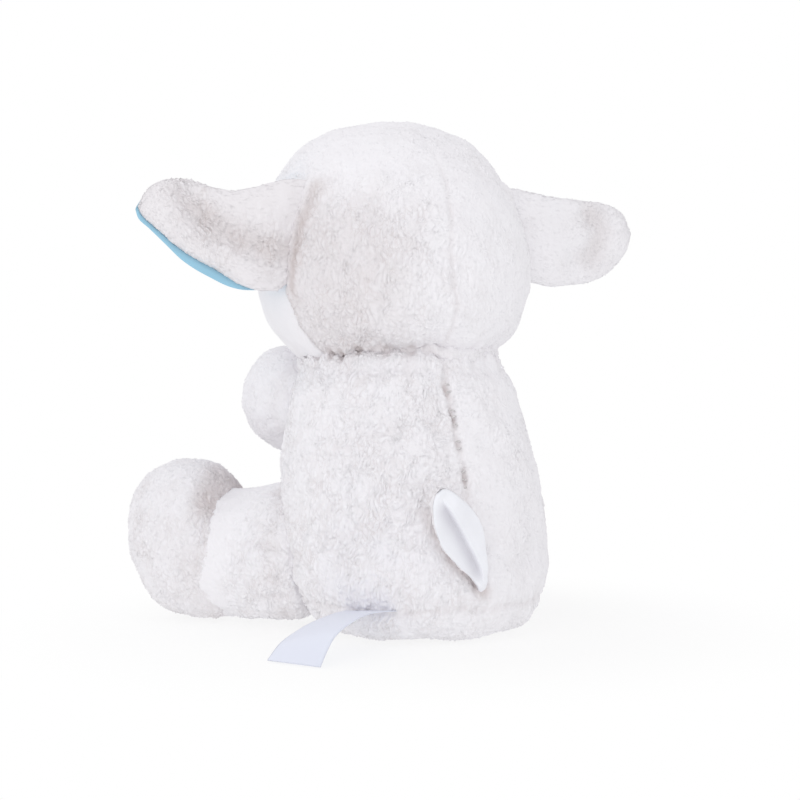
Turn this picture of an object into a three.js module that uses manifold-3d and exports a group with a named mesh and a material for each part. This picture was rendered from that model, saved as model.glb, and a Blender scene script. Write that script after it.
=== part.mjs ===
// A seated plush sheep: curly fleece panels over stuffing, with ball-shaped roots where head and limbs turn.
// Millimetres. The sheep faces -Y, its left side is +X, and it sits on the plane Z = 0.
import * as THREE from 'three';
import { mergeVertices } from 'three/addons/utils/BufferGeometryUtils.js';
import Module from 'manifold-3d';

const wasm = await Module();
wasm.setup();

// Fabrics and clearances
const fleeceThickness = 4;
const shortPileThickness = 2.6;
const liningThickness = 2.4;
const seamGap = 0.4;
const satinThickness = 0.5;

// Torso
const torsoHeight = 141;
const torsoHalfWidth = 63;
const torsoHalfDepth = 60;
const hipCentreY = 9;
const baseSeamHeight = 17;
const bellyHalfWidth = 30;

// Neck
const neckPivotY = -18;
const neckBelowTorsoTop = 7;
const neckRadius = 42;
const neckPlugDepth = 15;
const neckPlugFootRadius = 18;
const neckCollarThickness = 2.5;
const neckSeatGap = 0.6;
const headUndersideDegrees = 2;
const shoulderDegrees = 5.5;
const collarReachDegrees = 10;

// Head
const headHeight = 120;
const headHalfWidth = 66;
const headHalfDepth = 62;
const headForwardOfNeck = 2;
const headBelowPivot = 4;
const muzzleDepth = 13;
const muzzleHalfWidth = 27;
const muzzleHalfHeight = 21;
const muzzleHeightInHead = 38;
const faceSeamY = -5;
const browAboveEyes = 7;
const browSlopeDegrees = 12;

// Eyes and nose
const eyeRadius = 6.5;
const eyeBulge = 4.5;
const eyeSpacing = 50;
const eyeHeightInHead = 59;
const stemRadius = 1.7;
const stemLength = 9;
const washerRadius = 7;
const washerThickness = 1.4;
const noseHalfWidth = 8.5;
const noseHalfHeight = 5.5;
const noseBulge = 2.4;
const noseAboveMuzzle = 7;

// Ears
const earLength = 77;
const earHalfHeight = 26;
const earFleeceThickness = 5.5;
const earRootRadius = 5.5;
const earRootX = 60.6;
const earRootY = -2;
const earRootHeightInHead = 60.5;
const earRootLeanDegrees = 13;
const earSweepDegrees = 13;
const earHollow = 6;
const leftEarTipRise = -2;
const rightEarTipRise = -16;

// Tail
const tailLength = 62;
const tailHalfWidth = 11.5;
const tailFleeceThickness = 3.6;
const tailRootRadius = 5.5;
const tailRootX = -6;
const tailRootHeight = 24;
const tailLeanDegrees = 35;
const tailStandOffDegrees = 20;
const tailHollow = 4.5;

// Arms
const shoulderX = 33;
const shoulderY = -56;
const shoulderBelowNeck = 26;
const shoulderRadius = 16.5;
const pawX = 31;
const pawY = -80;
const pawAboveShoulder = 3;
const pawRadius = 25.5;
const pawHalfLength = 25;
const armRootDegrees = 54;

// Legs
const hipX = 48.5;
const hipY = -35;
const legAxisHeight = 33;
const hipRadius = 28;
const legRadius = 29.5;
const legSplayDegrees = 38;
const legRootDegrees = 56;
const footFromHip = 62.6;
const footHalfLength = 29;
const footHalfWidth = 32;
const footHeight = 82;
const footFlattening = 1.5;

// Pellet pouch
const pouchRadius = 31;
const pouchHeight = 20;

// Label
const labelWidth = 28;
const labelLength = 72;
const labelRootX = 38;
const labelRootY = 41;
const labelTurnDegrees = 31;
const labelRootLift = 0.6;

// Outlines and profiles, as shares of the sizes that they follow
const torsoProfileShares = [
  [0, 0], [0.4, 0], [0.74, 0.004], [0.92, 0.06], [1, 0.22], [0.99, 0.4],
  [0.97, 0.58], [0.89, 0.77], [0.79, 0.92], [0.5, 1], [0, 1.02],
];
const headProfileShares = [
  [0, 0], [0.5, 0.01], [0.78, 0.06], [0.93, 0.165], [1, 0.31], [0.985, 0.45],
  [0.94, 0.585], [0.83, 0.745], [0.645, 0.885], [0.37, 0.97], [0, 1],
];
const earOutlineShares = [
  [0, 0.94], [0.34, 0.78], [0.7, 0.64], [0.93, 0.38], [1, 0],
  [0.91, -0.45], [0.68, -0.92], [0.36, -1.09], [0, -0.96],
];
const tailOutlineShares = [
  [0.02, 0.3], [0.3, 0.86], [0.6, 1], [0.88, 0.6], [1, 0],
  [0.88, -0.6], [0.6, -1], [0.3, -0.86], [0.02, -0.3],
];
const leafCentreShare = 0.45;
const leafEdgeShare = 0.55;
const labelProfileShares = [[-0.12, 1], [0.18, 0.86], [0.45, 0.42], [0.72, 0.1], [1, 0.04]];

// Facets around and along each kind of form
const bodySegments = 22;
const bodySteps = 10;
const limbSegments = 12;
const limbSteps = 6;
const jointSegments = 16;
const neckSegments = 24;
const smallSegments = 12;
const leafSegments = 16;
const leafSteps = 5;

// Sizes worked out from those above
const up = new THREE.Vector3(0, 0, 1);
const alongX = new THREE.Vector3(1, 0, 0);
const toolReach = torsoHeight + headHeight;
const toolSpan = toolReach + toolReach;
const neckPivotHeight = torsoHeight - neckBelowTorsoTop;
const neckPivot = new THREE.Vector3(0, neckPivotY, neckPivotHeight);
const shoulderHeight = neckPivotHeight - shoulderBelowNeck;
const pawHeight = shoulderHeight + pawAboveShoulder;
const headBottom = neckPivotHeight - headBelowPivot;
const eyeHeight = headBottom + eyeHeightInHead;
const browSeamHeight = eyeHeight + browAboveEyes;
const earRootHeight = headBottom + earRootHeightInHead;
const headCentreY = neckPivotY - headForwardOfNeck;
const muzzleHeight = headBottom + muzzleHeightInHead;
const radians = THREE.MathUtils.degToRad;

const fleece = { color: 0xf0edec, roughness: 0.95, metalness: 0 };
const shortPile = { color: 0xf4f1ef, roughness: 0.9, metalness: 0 };
const blueLining = { color: 0x93cbe0, roughness: 0.6, metalness: 0 };
const whiteLining = { color: 0xeef0f4, roughness: 0.6, metalness: 0 };
const fibre = { color: 0xf7f7f5, roughness: 1, metalness: 0 };
const satin = { color: 0xeef1f8, roughness: 0.35, metalness: 0 };
const blackPlastic = { color: 0x14110f, roughness: 0.12, metalness: 0 };
const clearPlastic = { color: 0xd8dadb, roughness: 0.4, metalness: 0 };
const thread = { color: 0x4a3a35, roughness: 0.7, metalness: 0 };
const calico = { color: 0xe6e0d2, roughness: 0.9, metalness: 0 };

// Turns a closed geometry into a solid, dropping the slivers at its poles and turning its faces outwards.
function toSolid(geometry) {
  const bare = geometry.clone();
  bare.deleteAttribute('normal');
  bare.deleteAttribute('uv');
  const merged = mergeVertices(bare);
  const place = merged.getAttribute('position');
  const index = merged.getIndex().array;
  const triangles = [];
  let volume = 0;
  const [a, b, c] = [new THREE.Vector3(), new THREE.Vector3(), new THREE.Vector3()];
  for (let i = 0; i < index.length; i += 3) {
    const [p, q, r] = [index[i], index[i + 1], index[i + 2]];
    if (p === q || q === r || r === p) continue;
    triangles.push([p, q, r]);
    a.fromBufferAttribute(place, p);
    b.fromBufferAttribute(place, q);
    c.fromBufferAttribute(place, r);
    volume += a.dot(b.cross(c));
  }
  const outward = volume < 0 ? triangles.map(([p, q, r]) => [p, r, q]) : triangles;
  const mesh = new wasm.Mesh({
    numProp: 3,
    vertProperties: Float32Array.from(place.array),
    triVerts: Uint32Array.from(outward.flat()),
  });
  return new wasm.Manifold(mesh);
}

function toGeometry(solid) {
  const { vertProperties, triVerts, numProp } = solid.getMesh();
  const place = new Float32Array((vertProperties.length / numProp) * 3);
  for (let i = 0; i * numProp < vertProperties.length; i += 1) {
    place.set(vertProperties.subarray(i * numProp, i * numProp + 3), i * 3);
  }
  const geometry = new THREE.BufferGeometry();
  geometry.setAttribute('position', new THREE.BufferAttribute(place, 3));
  geometry.setIndex(Array.from(triVerts));
  geometry.computeVertexNormals();
  return geometry;
}

const sheep = new THREE.Group();

function addPiece(name, solid, finish) {
  const piece = new THREE.Mesh(toGeometry(solid), new THREE.MeshStandardMaterial(finish));
  piece.name = name;
  sheep.add(piece);
}

// A profile revolved about a line through origin along axis. Each point is [radius, distance along the axis].
function revolved(points, origin, axis, segments) {
  const profile = points.map(([radius, along]) => new THREE.Vector2(radius, along));
  const turn = new THREE.Quaternion().setFromUnitVectors(new THREE.Vector3(0, 1, 0), axis);
  const geometry = new THREE.LatheGeometry(profile, segments).applyQuaternion(turn);
  return toSolid(geometry.translate(origin.x, origin.y, origin.z));
}

// A joint's ball, with its poles on the line that the joint turns about.
function ball(centre, hinge, radius, segments, phase = 0) {
  const geometry = new THREE.SphereGeometry(radius, segments, limbSteps).rotateY(phase);
  geometry.applyQuaternion(new THREE.Quaternion().setFromUnitVectors(new THREE.Vector3(0, 1, 0), hinge));
  return toSolid(geometry.translate(centre.x, centre.y, centre.z));
}

// The seat of such a ball. Its facets lie outside everything that the ball sweeps as it turns.
function seat(centre, hinge, radius, segments) {
  const halfFacet = Math.PI / segments;
  return ball(centre, hinge, (radius + seamGap) / Math.cos(halfFacet), segments, halfFacet);
}

// Everything on the far side of a plane: a block whose near face holds point and faces against direction.
function beyond(point, direction) {
  const middle = point.clone().addScaledVector(direction, toolReach);
  const block = new THREE.BoxGeometry(toolSpan, toolSpan, toolSpan);
  const turn = new THREE.Quaternion().setFromUnitVectors(alongX, direction);
  return toSolid(block.applyQuaternion(turn).translate(middle.x, middle.y, middle.z));
}

// The cone of all directions within an angle of axis, with its tip moved forward by inset's wall.
function rootCone(tip, axis, degrees, inset) {
  const angle = radians(degrees);
  const apex = tip.clone().addScaledVector(axis, inset / Math.sin(angle));
  const rim = toolReach * Math.tan(angle);
  return revolved([[0, 0], [rim, toolReach], [0, toolReach]], apex, axis, limbSegments);
}

// A lathe form with oval rings. Its profile holds shares, which place turns into a position.
function ovalForm(profileShares, place) {
  const curve = new THREE.SplineCurve(profileShares.map(([r, h]) => new THREE.Vector2(r, h)));
  const geometry = new THREE.LatheGeometry(curve.getPoints(bodySteps), bodySegments);
  const position = geometry.getAttribute('position');
  for (let i = 0; i < position.count; i += 1) {
    const at = place(position.getX(i), position.getZ(i), position.getY(i));
    position.setXYZ(i, at.x, at.y, at.z);
  }
  return geometry;
}

// The torso's centre line runs straight from the hips to the neck's pivot.
const torsoCentreY = (height) => hipCentreY + (neckPivotY - hipCentreY) * (height / neckPivotHeight);

function torsoForm(inset) {
  return toSolid(ovalForm(torsoProfileShares, (across, back, share) => {
    const height = Math.max(inset, inset + share * (torsoHeight - inset - inset));
    const y = torsoCentreY(height) + back * (torsoHalfDepth - inset);
    return new THREE.Vector3(across * (torsoHalfWidth - inset), y, height);
  }));
}

// The head is an oval form with a rounded muzzle swelling out of its front.
function headGeometry(inset) {
  return ovalForm(headProfileShares, (across, back, share) => {
    const height = headBottom + inset + share * (headHeight - inset - inset);
    const x = across * (headHalfWidth - inset);
    const sideways = (x / muzzleHalfWidth) ** 2;
    const upward = ((height - muzzleHeight) / muzzleHalfHeight) ** 2;
    const swell = back < 0 ? muzzleDepth * Math.exp(-sideways - upward) : 0;
    return new THREE.Vector3(x, headCentreY + back * (headHalfDepth - inset) - swell, height);
  });
}

const headForm = (inset) => toSolid(headGeometry(inset));

// The neck: a dome under the head, turning in a shallow seat in the torso.
function neckProfile(grow) {
  const points = [[0, -neckPlugDepth - grow], [neckPlugFootRadius, -neckPlugDepth - grow]];
  const start = -radians(collarReachDegrees);
  for (let i = 0; i <= limbSteps; i += 1) {
    const angle = start + (Math.PI / 2 - start) * (i / limbSteps);
    const radius = i < limbSteps ? (neckRadius + grow) * Math.cos(angle) : 0;
    points.push([radius, (neckRadius + grow) * Math.sin(angle)]);
  }
  return points;
}

const neckForm = (grow) => revolved(neckProfile(grow), neckPivot, up, neckSegments);

// The space above a cone about the neck's pivot that rises by the given angle.
function aboveCone(degrees) {
  const edge = toolReach * Math.tan(radians(degrees));
  const points = [[0, 0], [toolReach, edge], [toolReach, toolReach], [0, toolReach]];
  return revolved(points, neckPivot, up, neckSegments);
}

function shoulderOf(side) {
  const joint = new THREE.Vector3(side * shoulderX, shoulderY, shoulderHeight);
  const paw = new THREE.Vector3(side * pawX, pawY, pawHeight);
  return { joint, paw, axis: paw.clone().sub(joint).normalize(), hinge: alongX };
}

function hipOf(side) {
  const splay = radians(legSplayDegrees);
  const axis = new THREE.Vector3(side * Math.sin(splay), -Math.cos(splay), 0);
  const joint = new THREE.Vector3(side * hipX, hipY, legAxisHeight);
  return { joint, axis, hinge: new THREE.Vector3().crossVectors(axis, up) };
}

// The tail leans to the sheep's left and stands off its back. It turns about its root's seam.
function tailFrame() {
  const lean = radians(tailLeanDegrees);
  const stand = radians(tailStandOffDegrees);
  const turn = Math.asin(tailRootX / torsoHalfWidth);
  const behind = torsoCentreY(tailRootHeight) + torsoHalfDepth * Math.cos(turn);
  const joint = new THREE.Vector3(tailRootX, behind, tailRootHeight);
  const along = new THREE.Vector3(Math.sin(lean), Math.sin(stand), Math.cos(lean)).normalize();
  const across = new THREE.Vector3(-Math.cos(lean), 0, Math.sin(lean));
  const level = across.addScaledVector(along, -across.dot(along)).normalize();
  return { joint, along, level, outward: new THREE.Vector3().crossVectors(level, along) };
}

function tailSeat() {
  const { joint, level } = tailFrame();
  return seat(joint, level, tailRootRadius, smallSegments);
}

// What the torso leaves free: the neck's seat, both shoulders, both hips and the tail's root.
function torsoRecesses() {
  let space = neckForm(neckSeatGap).add(aboveCone(-shoulderDegrees)).add(tailSeat());
  for (const side of [1, -1]) {
    const [shoulder, hip] = [shoulderOf(side), hipOf(side)];
    space = space.add(seat(shoulder.joint, shoulder.hinge, shoulderRadius, jointSegments));
    space = space.add(seat(hip.joint, hip.hinge, hipRadius, jointSegments));
  }
  return space;
}

function pouchForm(grow) {
  const floor = fleeceThickness + seamGap;
  const radius = pouchRadius + grow;
  const top = pouchHeight + grow;
  const centre = new THREE.Vector3(0, hipCentreY, floor);
  const points = [[0, 0], [radius, 0]];
  for (let i = 1; i <= smallSegments / 2; i += 1) {
    const angle = (Math.PI / 2) * (i / (smallSegments / 2));
    points.push([i < smallSegments / 2 ? radius * Math.cos(angle) : 0, top * Math.sin(angle)]);
  }
  return revolved(points, centre, up, limbSegments);
}

function addTorso() {
  const recesses = torsoRecesses();
  const skin = torsoForm(0).subtract(torsoForm(fleeceThickness)).subtract(recesses);
  const half = seamGap / 2;
  const centre = new THREE.Vector3();
  const baseTop = new THREE.Vector3(0, 0, baseSeamHeight - half);
  const wallFoot = new THREE.Vector3(0, 0, baseSeamHeight + half);
  const walls = skin.intersect(beyond(wallFoot, up));
  const leftward = alongX;
  const rightward = alongX.clone().negate();
  const middleStrip = (reach) => beyond(centre, new THREE.Vector3(0, -1, 0))
    .intersect(beyond(rightward.clone().multiplyScalar(reach), leftward))
    .intersect(beyond(leftward.clone().multiplyScalar(reach), rightward));
  const bellySlab = middleStrip(bellyHalfWidth + half);
  const belly = walls.intersect(middleStrip(bellyHalfWidth - half));
  addPiece('torso_base_panel', skin.intersect(beyond(baseTop, up.clone().negate())), fleece);
  addPiece('torso_belly_panel', belly, fleece);
  for (const [name, direction] of [['torso_left_panel', leftward], ['torso_right_panel', rightward]]) {
    const edge = centre.clone().addScaledVector(direction, half);
    addPiece(name, walls.subtract(bellySlab).intersect(beyond(edge, direction)), fleece);
  }
  const stuffing = torsoForm(fleeceThickness + seamGap).subtract(recesses);
  addPiece('torso_stuffing', stuffing.subtract(pouchForm(seamGap)), fibre);
  addPiece('pellet_pouch', pouchForm(0), calico);
}

function addNeck() {
  const collarFoot = aboveCone(-collarReachDegrees - collarReachDegrees);
  const collarSpan = collarFoot.subtract(aboveCone(collarReachDegrees));
  const collar = neckForm(0).subtract(neckForm(-neckCollarThickness)).intersect(collarSpan);
  addPiece('neck_collar', collar, fleece);
  const core = neckForm(-neckCollarThickness - seamGap);
  addPiece('neck_stuffing', core, fibre);
}

// The first point of the head's front that a line straight back meets, with the surface's outward direction.
function faceAt(x, height) {
  const mesh = new THREE.Mesh(headGeometry(0), new THREE.MeshBasicMaterial({ side: THREE.DoubleSide }));
  const start = new THREE.Vector3(x, -toolReach, height);
  const [hit] = new THREE.Raycaster(start, new THREE.Vector3(0, 1, 0)).intersectObject(mesh);
  const outward = hit.face.normal.clone();
  return { point: hit.point, outward: outward.y > 0 ? outward.negate() : outward };
}

function eyeForm(at, grow) {
  const points = [[0, -stemLength - grow], [stemRadius + grow, -stemLength - grow]];
  points.push([stemRadius + grow, seamGap - grow]);
  for (let i = 0; i <= smallSegments / 2; i += 1) {
    const angle = (Math.PI / 2) * (i / (smallSegments / 2));
    const radius = i < smallSegments / 2 ? (eyeRadius + grow) * Math.cos(angle) : 0;
    points.push([radius, seamGap - grow + (eyeBulge + grow) * Math.sin(angle)]);
  }
  return revolved(points, at.point, at.outward, smallSegments);
}

function washerForm(at, grow) {
  const top = -shortPileThickness - seamGap + grow;
  const foot = top - washerThickness - grow - grow;
  const outer = washerRadius + grow;
  return revolved([[0, foot], [outer, foot], [outer, top], [0, top]], at.point, at.outward, smallSegments);
}

function addHead() {
  const recess = neckForm(neckSeatGap);
  const kept = aboveCone(headUndersideDegrees);
  const grooves = [1, -1].map((side) => earRootForm(side, seamGap));
  const fit = (form) => form.intersect(kept).subtract(recess).subtract(grooves[0]).subtract(grooves[1]);
  const half = seamGap / 2;
  const forward = new THREE.Vector3(0, -1, 0);
  const slope = radians(browSlopeDegrees);
  const fromBrow = new THREE.Vector3(0, -Math.sin(slope), -Math.cos(slope));
  const browPoint = new THREE.Vector3(0, faceSeamY, browSeamHeight);
  const faceRegion = (inset) => {
    const side = browPoint.clone().addScaledVector(forward, inset);
    const under = browPoint.clone().addScaledVector(fromBrow, inset);
    return beyond(side, forward).intersect(beyond(under, fromBrow));
  };
  const eyes = [1, -1].map((side) => faceAt(side * eyeSpacing / 2, eyeHeight));
  let eyeSpace = eyeForm(eyes[0], seamGap).add(washerForm(eyes[0], seamGap));
  eyeSpace = eyeSpace.add(eyeForm(eyes[1], seamGap)).add(washerForm(eyes[1], seamGap));
  const faceSkin = headForm(0).subtract(headForm(shortPileThickness));
  const woolSkin = headForm(0).subtract(headForm(fleeceThickness));
  addPiece('face_panel', fit(faceSkin.intersect(faceRegion(half))).subtract(eyeSpace), shortPile);
  const wool = woolSkin.subtract(faceRegion(-half));
  for (const [name, side] of [['head_left_panel', 1], ['head_right_panel', -1]]) {
    const direction = alongX.clone().multiplyScalar(side);
    const edge = direction.clone().multiplyScalar(half);
    addPiece(name, fit(wool.intersect(beyond(edge, direction))), fleece);
  }
  addPiece('head_stuffing', fit(headForm(fleeceThickness + seamGap)).subtract(eyeSpace), fibre);
  for (const [i, side] of ['left', 'right'].entries()) {
    addPiece(`${side}_eye`, eyeForm(eyes[i], 0), blackPlastic);
    const hole = eyeForm(eyes[i], seamGap);
    addPiece(`${side}_eye_washer`, washerForm(eyes[i], 0).subtract(hole), clearPlastic);
  }
  addNose();
}

function addNose() {
  const at = faceAt(0, muzzleHeight + noseAboveMuzzle).point;
  const pad = new THREE.SphereGeometry(1, limbSegments, limbSteps);
  const depth = noseBulge + shortPileThickness;
  pad.scale(noseHalfWidth, depth, noseHalfHeight).translate(at.x, at.y, at.z);
  addPiece('nose', toSolid(pad).subtract(headForm(-seamGap)), thread);
}

// The line on which an ear is sewn, leaning inwards with the side of the head.
function earFrame(side) {
  const lean = radians(earRootLeanDegrees);
  const sweep = radians(earSweepDegrees);
  const root = new THREE.Vector3(side * earRootX, earRootY, earRootHeight);
  const rise = new THREE.Vector3(-side * Math.sin(lean), 0, Math.cos(lean));
  const level = new THREE.Vector3(side * Math.cos(sweep), -Math.sin(sweep), 0);
  const along = level.addScaledVector(rise, -level.dot(rise)).normalize();
  const back = new THREE.Vector3().crossVectors(rise, along).multiplyScalar(side);
  return { root, rise, along, back };
}

function earRootForm(side, grow) {
  const { root, rise } = earFrame(side);
  const radius = earRootRadius + grow;
  const reach = earHalfHeight - earRootRadius;
  const points = [];
  for (const [end, from] of [[-1, -Math.PI / 2], [1, 0]]) {
    for (let i = 0; i <= smallSegments / 4; i += 1) {
      const angle = from + (Math.PI / 2) * (i / (smallSegments / 4));
      const onAxis = (end < 0 && i === 0) || (end > 0 && i === smallSegments / 4);
      points.push([onAxis ? 0 : radius * Math.cos(angle), end * reach + radius * Math.sin(angle)]);
    }
  }
  return revolved(points, root, rise, smallSegments);
}

// One layer of a leaf: flat against its fellow and domed on its other face. place maps shares and an offset.
function leafLayer(outlineShares, thickness, place) {
  const points = outlineShares.map(([along, across]) => new THREE.Vector3(along, across, 0));
  const outline = new THREE.CatmullRomCurve3(points, true);
  const middle = new THREE.Vector3(leafCentreShare, 0, 0);
  const geometry = new THREE.SphereGeometry(1, leafSegments, leafSteps);
  const position = geometry.getAttribute('position');
  for (let i = 0; i < position.count; i += 1) {
    const [x, y, z] = [position.getX(i), position.getY(i), position.getZ(i)];
    const turn = (Math.atan2(z, x) / (Math.PI * 2) + 1) % 1;
    const edge = outline.getPoint(turn);
    const spot = middle.clone().lerp(edge, Math.hypot(x, z));
    const dome = y > 0 ? Math.abs(thickness) * y ** leafEdgeShare : 0;
    const offset = Math.sign(thickness) * (dome + seamGap / 2);
    const at = place(spot.x, spot.y, offset);
    position.setXYZ(i, at.x, at.y, at.z);
  }
  return toSolid(geometry);
}

// An ear hollows towards the back, and its tip rises.
function earLayer(side, thickness) {
  const { root, rise, along, back } = earFrame(side);
  const tipRise = side > 0 ? leftEarTipRise : rightEarTipRise;
  return leafLayer(earOutlineShares, thickness, (s, t, offset) => {
    const hollow = earHollow * t * t * s;
    return root.clone()
      .addScaledVector(along, s * earLength)
      .addScaledVector(rise, t * earHalfHeight + tipRise * s * s)
      .addScaledVector(back, offset + hollow);
  });
}

function addEar(name, side) {
  const root = earRootForm(side, 0);
  const lining = earLayer(side, -liningThickness).subtract(earRootForm(side, seamGap));
  const headSpace = headForm(-seamGap);
  const cover = earLayer(side, earFleeceThickness).subtract(headSpace).add(root);
  addPiece(`${name}_ear_cover`, cover, fleece);
  addPiece(`${name}_ear_lining`, lining.subtract(headSpace), blueLining);
}

function tailLayer(thickness) {
  const { joint, along, level, outward } = tailFrame();
  return leafLayer(tailOutlineShares, thickness, (s, t, offset) => {
    const fold = tailHollow * Math.abs(t) * s;
    return joint.clone()
      .addScaledVector(along, s * tailLength)
      .addScaledVector(level, t * tailHalfWidth)
      .addScaledVector(outward, offset + fold);
  });
}

function addTail() {
  const torsoSpace = torsoForm(-seamGap);
  const { joint, level } = tailFrame();
  const root = ball(joint, level, tailRootRadius, smallSegments);
  const cover = tailLayer(-tailFleeceThickness).subtract(torsoSpace).add(root);
  const lining = tailLayer(liningThickness).subtract(torsoSpace);
  addPiece('tail_cover', cover, fleece);
  addPiece('tail_lining', lining.subtract(tailSeat()), whiteLining);
}

// Two panels that meet along the vertical plane through a limb's axis.
function addHalves(names, skin, joint, axis, finish) {
  const sideways = new THREE.Vector3().crossVectors(up, axis).normalize();
  for (const [i, name] of names.entries()) {
    const direction = sideways.clone().multiplyScalar(i === 0 ? 1 : -1);
    const edge = joint.clone().addScaledVector(direction, seamGap / 2);
    addPiece(name, skin.intersect(beyond(edge, direction)), finish);
  }
}

function armForm(side, inset) {
  const { joint, paw, axis, hinge } = shoulderOf(side);
  const pad = new THREE.SphereGeometry(1, limbSegments, limbSteps);
  pad.scale(pawRadius - inset, pawHalfLength - inset, pawRadius - inset);
  pad.applyQuaternion(new THREE.Quaternion().setFromUnitVectors(new THREE.Vector3(0, 1, 0), axis));
  const body = toSolid(pad.translate(paw.x, paw.y, paw.z));
  const root = ball(joint, hinge, shoulderRadius - inset, jointSegments);
  return body.intersect(rootCone(joint, axis, armRootDegrees, inset)).add(root);
}

function addArm(name, side) {
  const { joint, axis } = shoulderOf(side);
  const skin = armForm(side, 0).subtract(armForm(side, fleeceThickness));
  const names = side > 0 ? ['outer', 'inner'] : ['inner', 'outer'];
  addHalves(names.map((half) => `${name}_arm_${half}_panel`), skin, joint, axis, fleece);
  addPiece(`${name}_arm_stuffing`, armForm(side, fleeceThickness + seamGap), fibre);
}

function legTube(side, inset, reach) {
  const { joint, axis, hinge } = hipOf(side);
  const radius = legRadius - inset;
  const tube = revolved([[0, 0], [radius, 0], [radius, reach], [0, reach]], joint, axis, limbSegments);
  const root = ball(joint, hinge, hipRadius - inset, jointSegments);
  return tube.intersect(rootCone(joint, axis, legRootDegrees, inset)).add(root);
}

// The foot: a tall upright pad, flattened a little where it rests.
function footForm(side, inset) {
  const { joint, axis } = hipOf(side);
  const pad = new THREE.SphereGeometry(1, limbSegments, limbSteps);
  pad.rotateX(Math.PI / 2).scale(footHalfWidth - inset, footHalfLength - inset, footHeight / 2 - inset);
  pad.rotateZ(Math.atan2(axis.y, axis.x) + Math.PI / 2);
  const centre = joint.clone().addScaledVector(axis, footFromHip);
  pad.translate(centre.x, centre.y, footHeight / 2 - footFlattening);
  const position = pad.getAttribute('position');
  for (let i = 0; i < position.count; i += 1) {
    position.setZ(i, Math.max(position.getZ(i), inset));
  }
  return toSolid(pad);
}

function addLeg(name, side) {
  const { joint, axis } = hipOf(side);
  const tubeSpace = legTube(side, fleeceThickness, footFromHip + seamGap);
  const tubeSkin = legTube(side, 0, footFromHip).subtract(tubeSpace);
  const names = side > 0 ? ['outer', 'inner'] : ['inner', 'outer'];
  const legSkin = tubeSkin.subtract(footForm(side, -seamGap));
  addHalves(names.map((half) => `${name}_leg_${half}_panel`), legSkin, joint, axis, fleece);
  const footSkin = footForm(side, 0).subtract(footForm(side, fleeceThickness));
  const openFoot = footSkin.subtract(legTube(side, fleeceThickness, footFromHip));
  addHalves(names.map((half) => `${name}_foot_${half}_panel`), openFoot, joint, axis, fleece);
  const filling = fleeceThickness + seamGap;
  const stuffing = legTube(side, filling, footFromHip).add(footForm(side, filling));
  addPiece(`${name}_leg_stuffing`, stuffing, fibre);
}

// The label: a ribbon that leaves the base seam and falls to the ground.
function addLabel() {
  const curve = new THREE.SplineCurve(labelProfileShares.map(([s, h]) => {
    return new THREE.Vector2(s * labelLength, labelRootLift + h * (baseSeamHeight - labelRootLift));
  }));
  const top = curve.getPoints(smallSegments);
  const lower = top.map((at) => new THREE.Vector2(at.x, at.y - satinThickness)).reverse();
  const outline = new THREE.Shape([...top, ...lower]);
  const ribbon = new THREE.ExtrudeGeometry(outline, { depth: labelWidth, bevelEnabled: false });
  ribbon.translate(0, 0, -labelWidth / 2).rotateX(Math.PI / 2).rotateZ(radians(labelTurnDegrees));
  ribbon.translate(labelRootX, labelRootY, 0);
  addPiece('care_label', toSolid(ribbon).subtract(torsoForm(-seamGap)), satin);
}

addTorso();
addNeck();
addHead();
addTail();
addLabel();
for (const [name, side] of [['left', 1], ['right', -1]]) {
  addEar(name, side);
  addArm(name, side);
  addLeg(name, side);
}

export default sheep;
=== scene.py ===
"""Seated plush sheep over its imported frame: curly fleece, linings, stitching, a satin label and a studio.

Shapes are worked out in millimetres as whole arrays and written to the meshes in metres.
The sheep looks along -Y, its left side is +X, and it sits on the floor at height 0.
"""

import math

import bpy
import numpy as np
from bpy.props import FloatProperty, FloatVectorProperty, PointerProperty
from bpy.types import Operator, Panel, PropertyGroup
from mathutils import Matrix, Vector


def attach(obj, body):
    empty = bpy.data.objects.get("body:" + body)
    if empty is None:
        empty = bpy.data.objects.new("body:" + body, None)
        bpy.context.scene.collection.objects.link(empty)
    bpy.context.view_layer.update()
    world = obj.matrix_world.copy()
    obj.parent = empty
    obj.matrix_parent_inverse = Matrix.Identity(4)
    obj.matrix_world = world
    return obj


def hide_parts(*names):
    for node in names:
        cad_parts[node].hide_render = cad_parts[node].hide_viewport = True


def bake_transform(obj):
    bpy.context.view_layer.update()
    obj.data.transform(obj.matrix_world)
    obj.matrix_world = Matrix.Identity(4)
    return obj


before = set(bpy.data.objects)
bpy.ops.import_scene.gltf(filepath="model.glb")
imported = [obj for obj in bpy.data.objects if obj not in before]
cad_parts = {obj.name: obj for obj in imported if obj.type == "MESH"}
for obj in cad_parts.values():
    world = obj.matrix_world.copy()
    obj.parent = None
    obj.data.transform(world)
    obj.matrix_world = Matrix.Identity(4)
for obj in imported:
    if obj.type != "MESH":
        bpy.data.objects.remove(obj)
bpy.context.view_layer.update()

bl_info = {
    "name": "Plush Sheep",
    "version": (1, 0, 0),
    "blender": (4, 5, 0),
    "location": "View3D > Sidebar > Plush",
    "description": "Builds a seated plush sheep piece by piece over its packed frame",
    "category": "Add Mesh",
}

MM = 0.001
LEFT, RIGHT = 1, -1
SIDES = (("left", LEFT), ("right", RIGHT))

# Sizes in millimetres at which the outlines and profiles below are drawn.
EAR_LENGTH, EAR_HALF_HEIGHT = 77, 26
TAIL_LENGTH, TAIL_HALF_WIDTH = 62, 11.5
LEG_HALF_WIDTH, FOOT_HEIGHT, PAW_HALF_WIDTH = 27.5, 81.2, 25
LABEL_WIDTH, LABEL_LENGTH, LABEL_HALF_THICKNESS = 31, 76, 0.22

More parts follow.
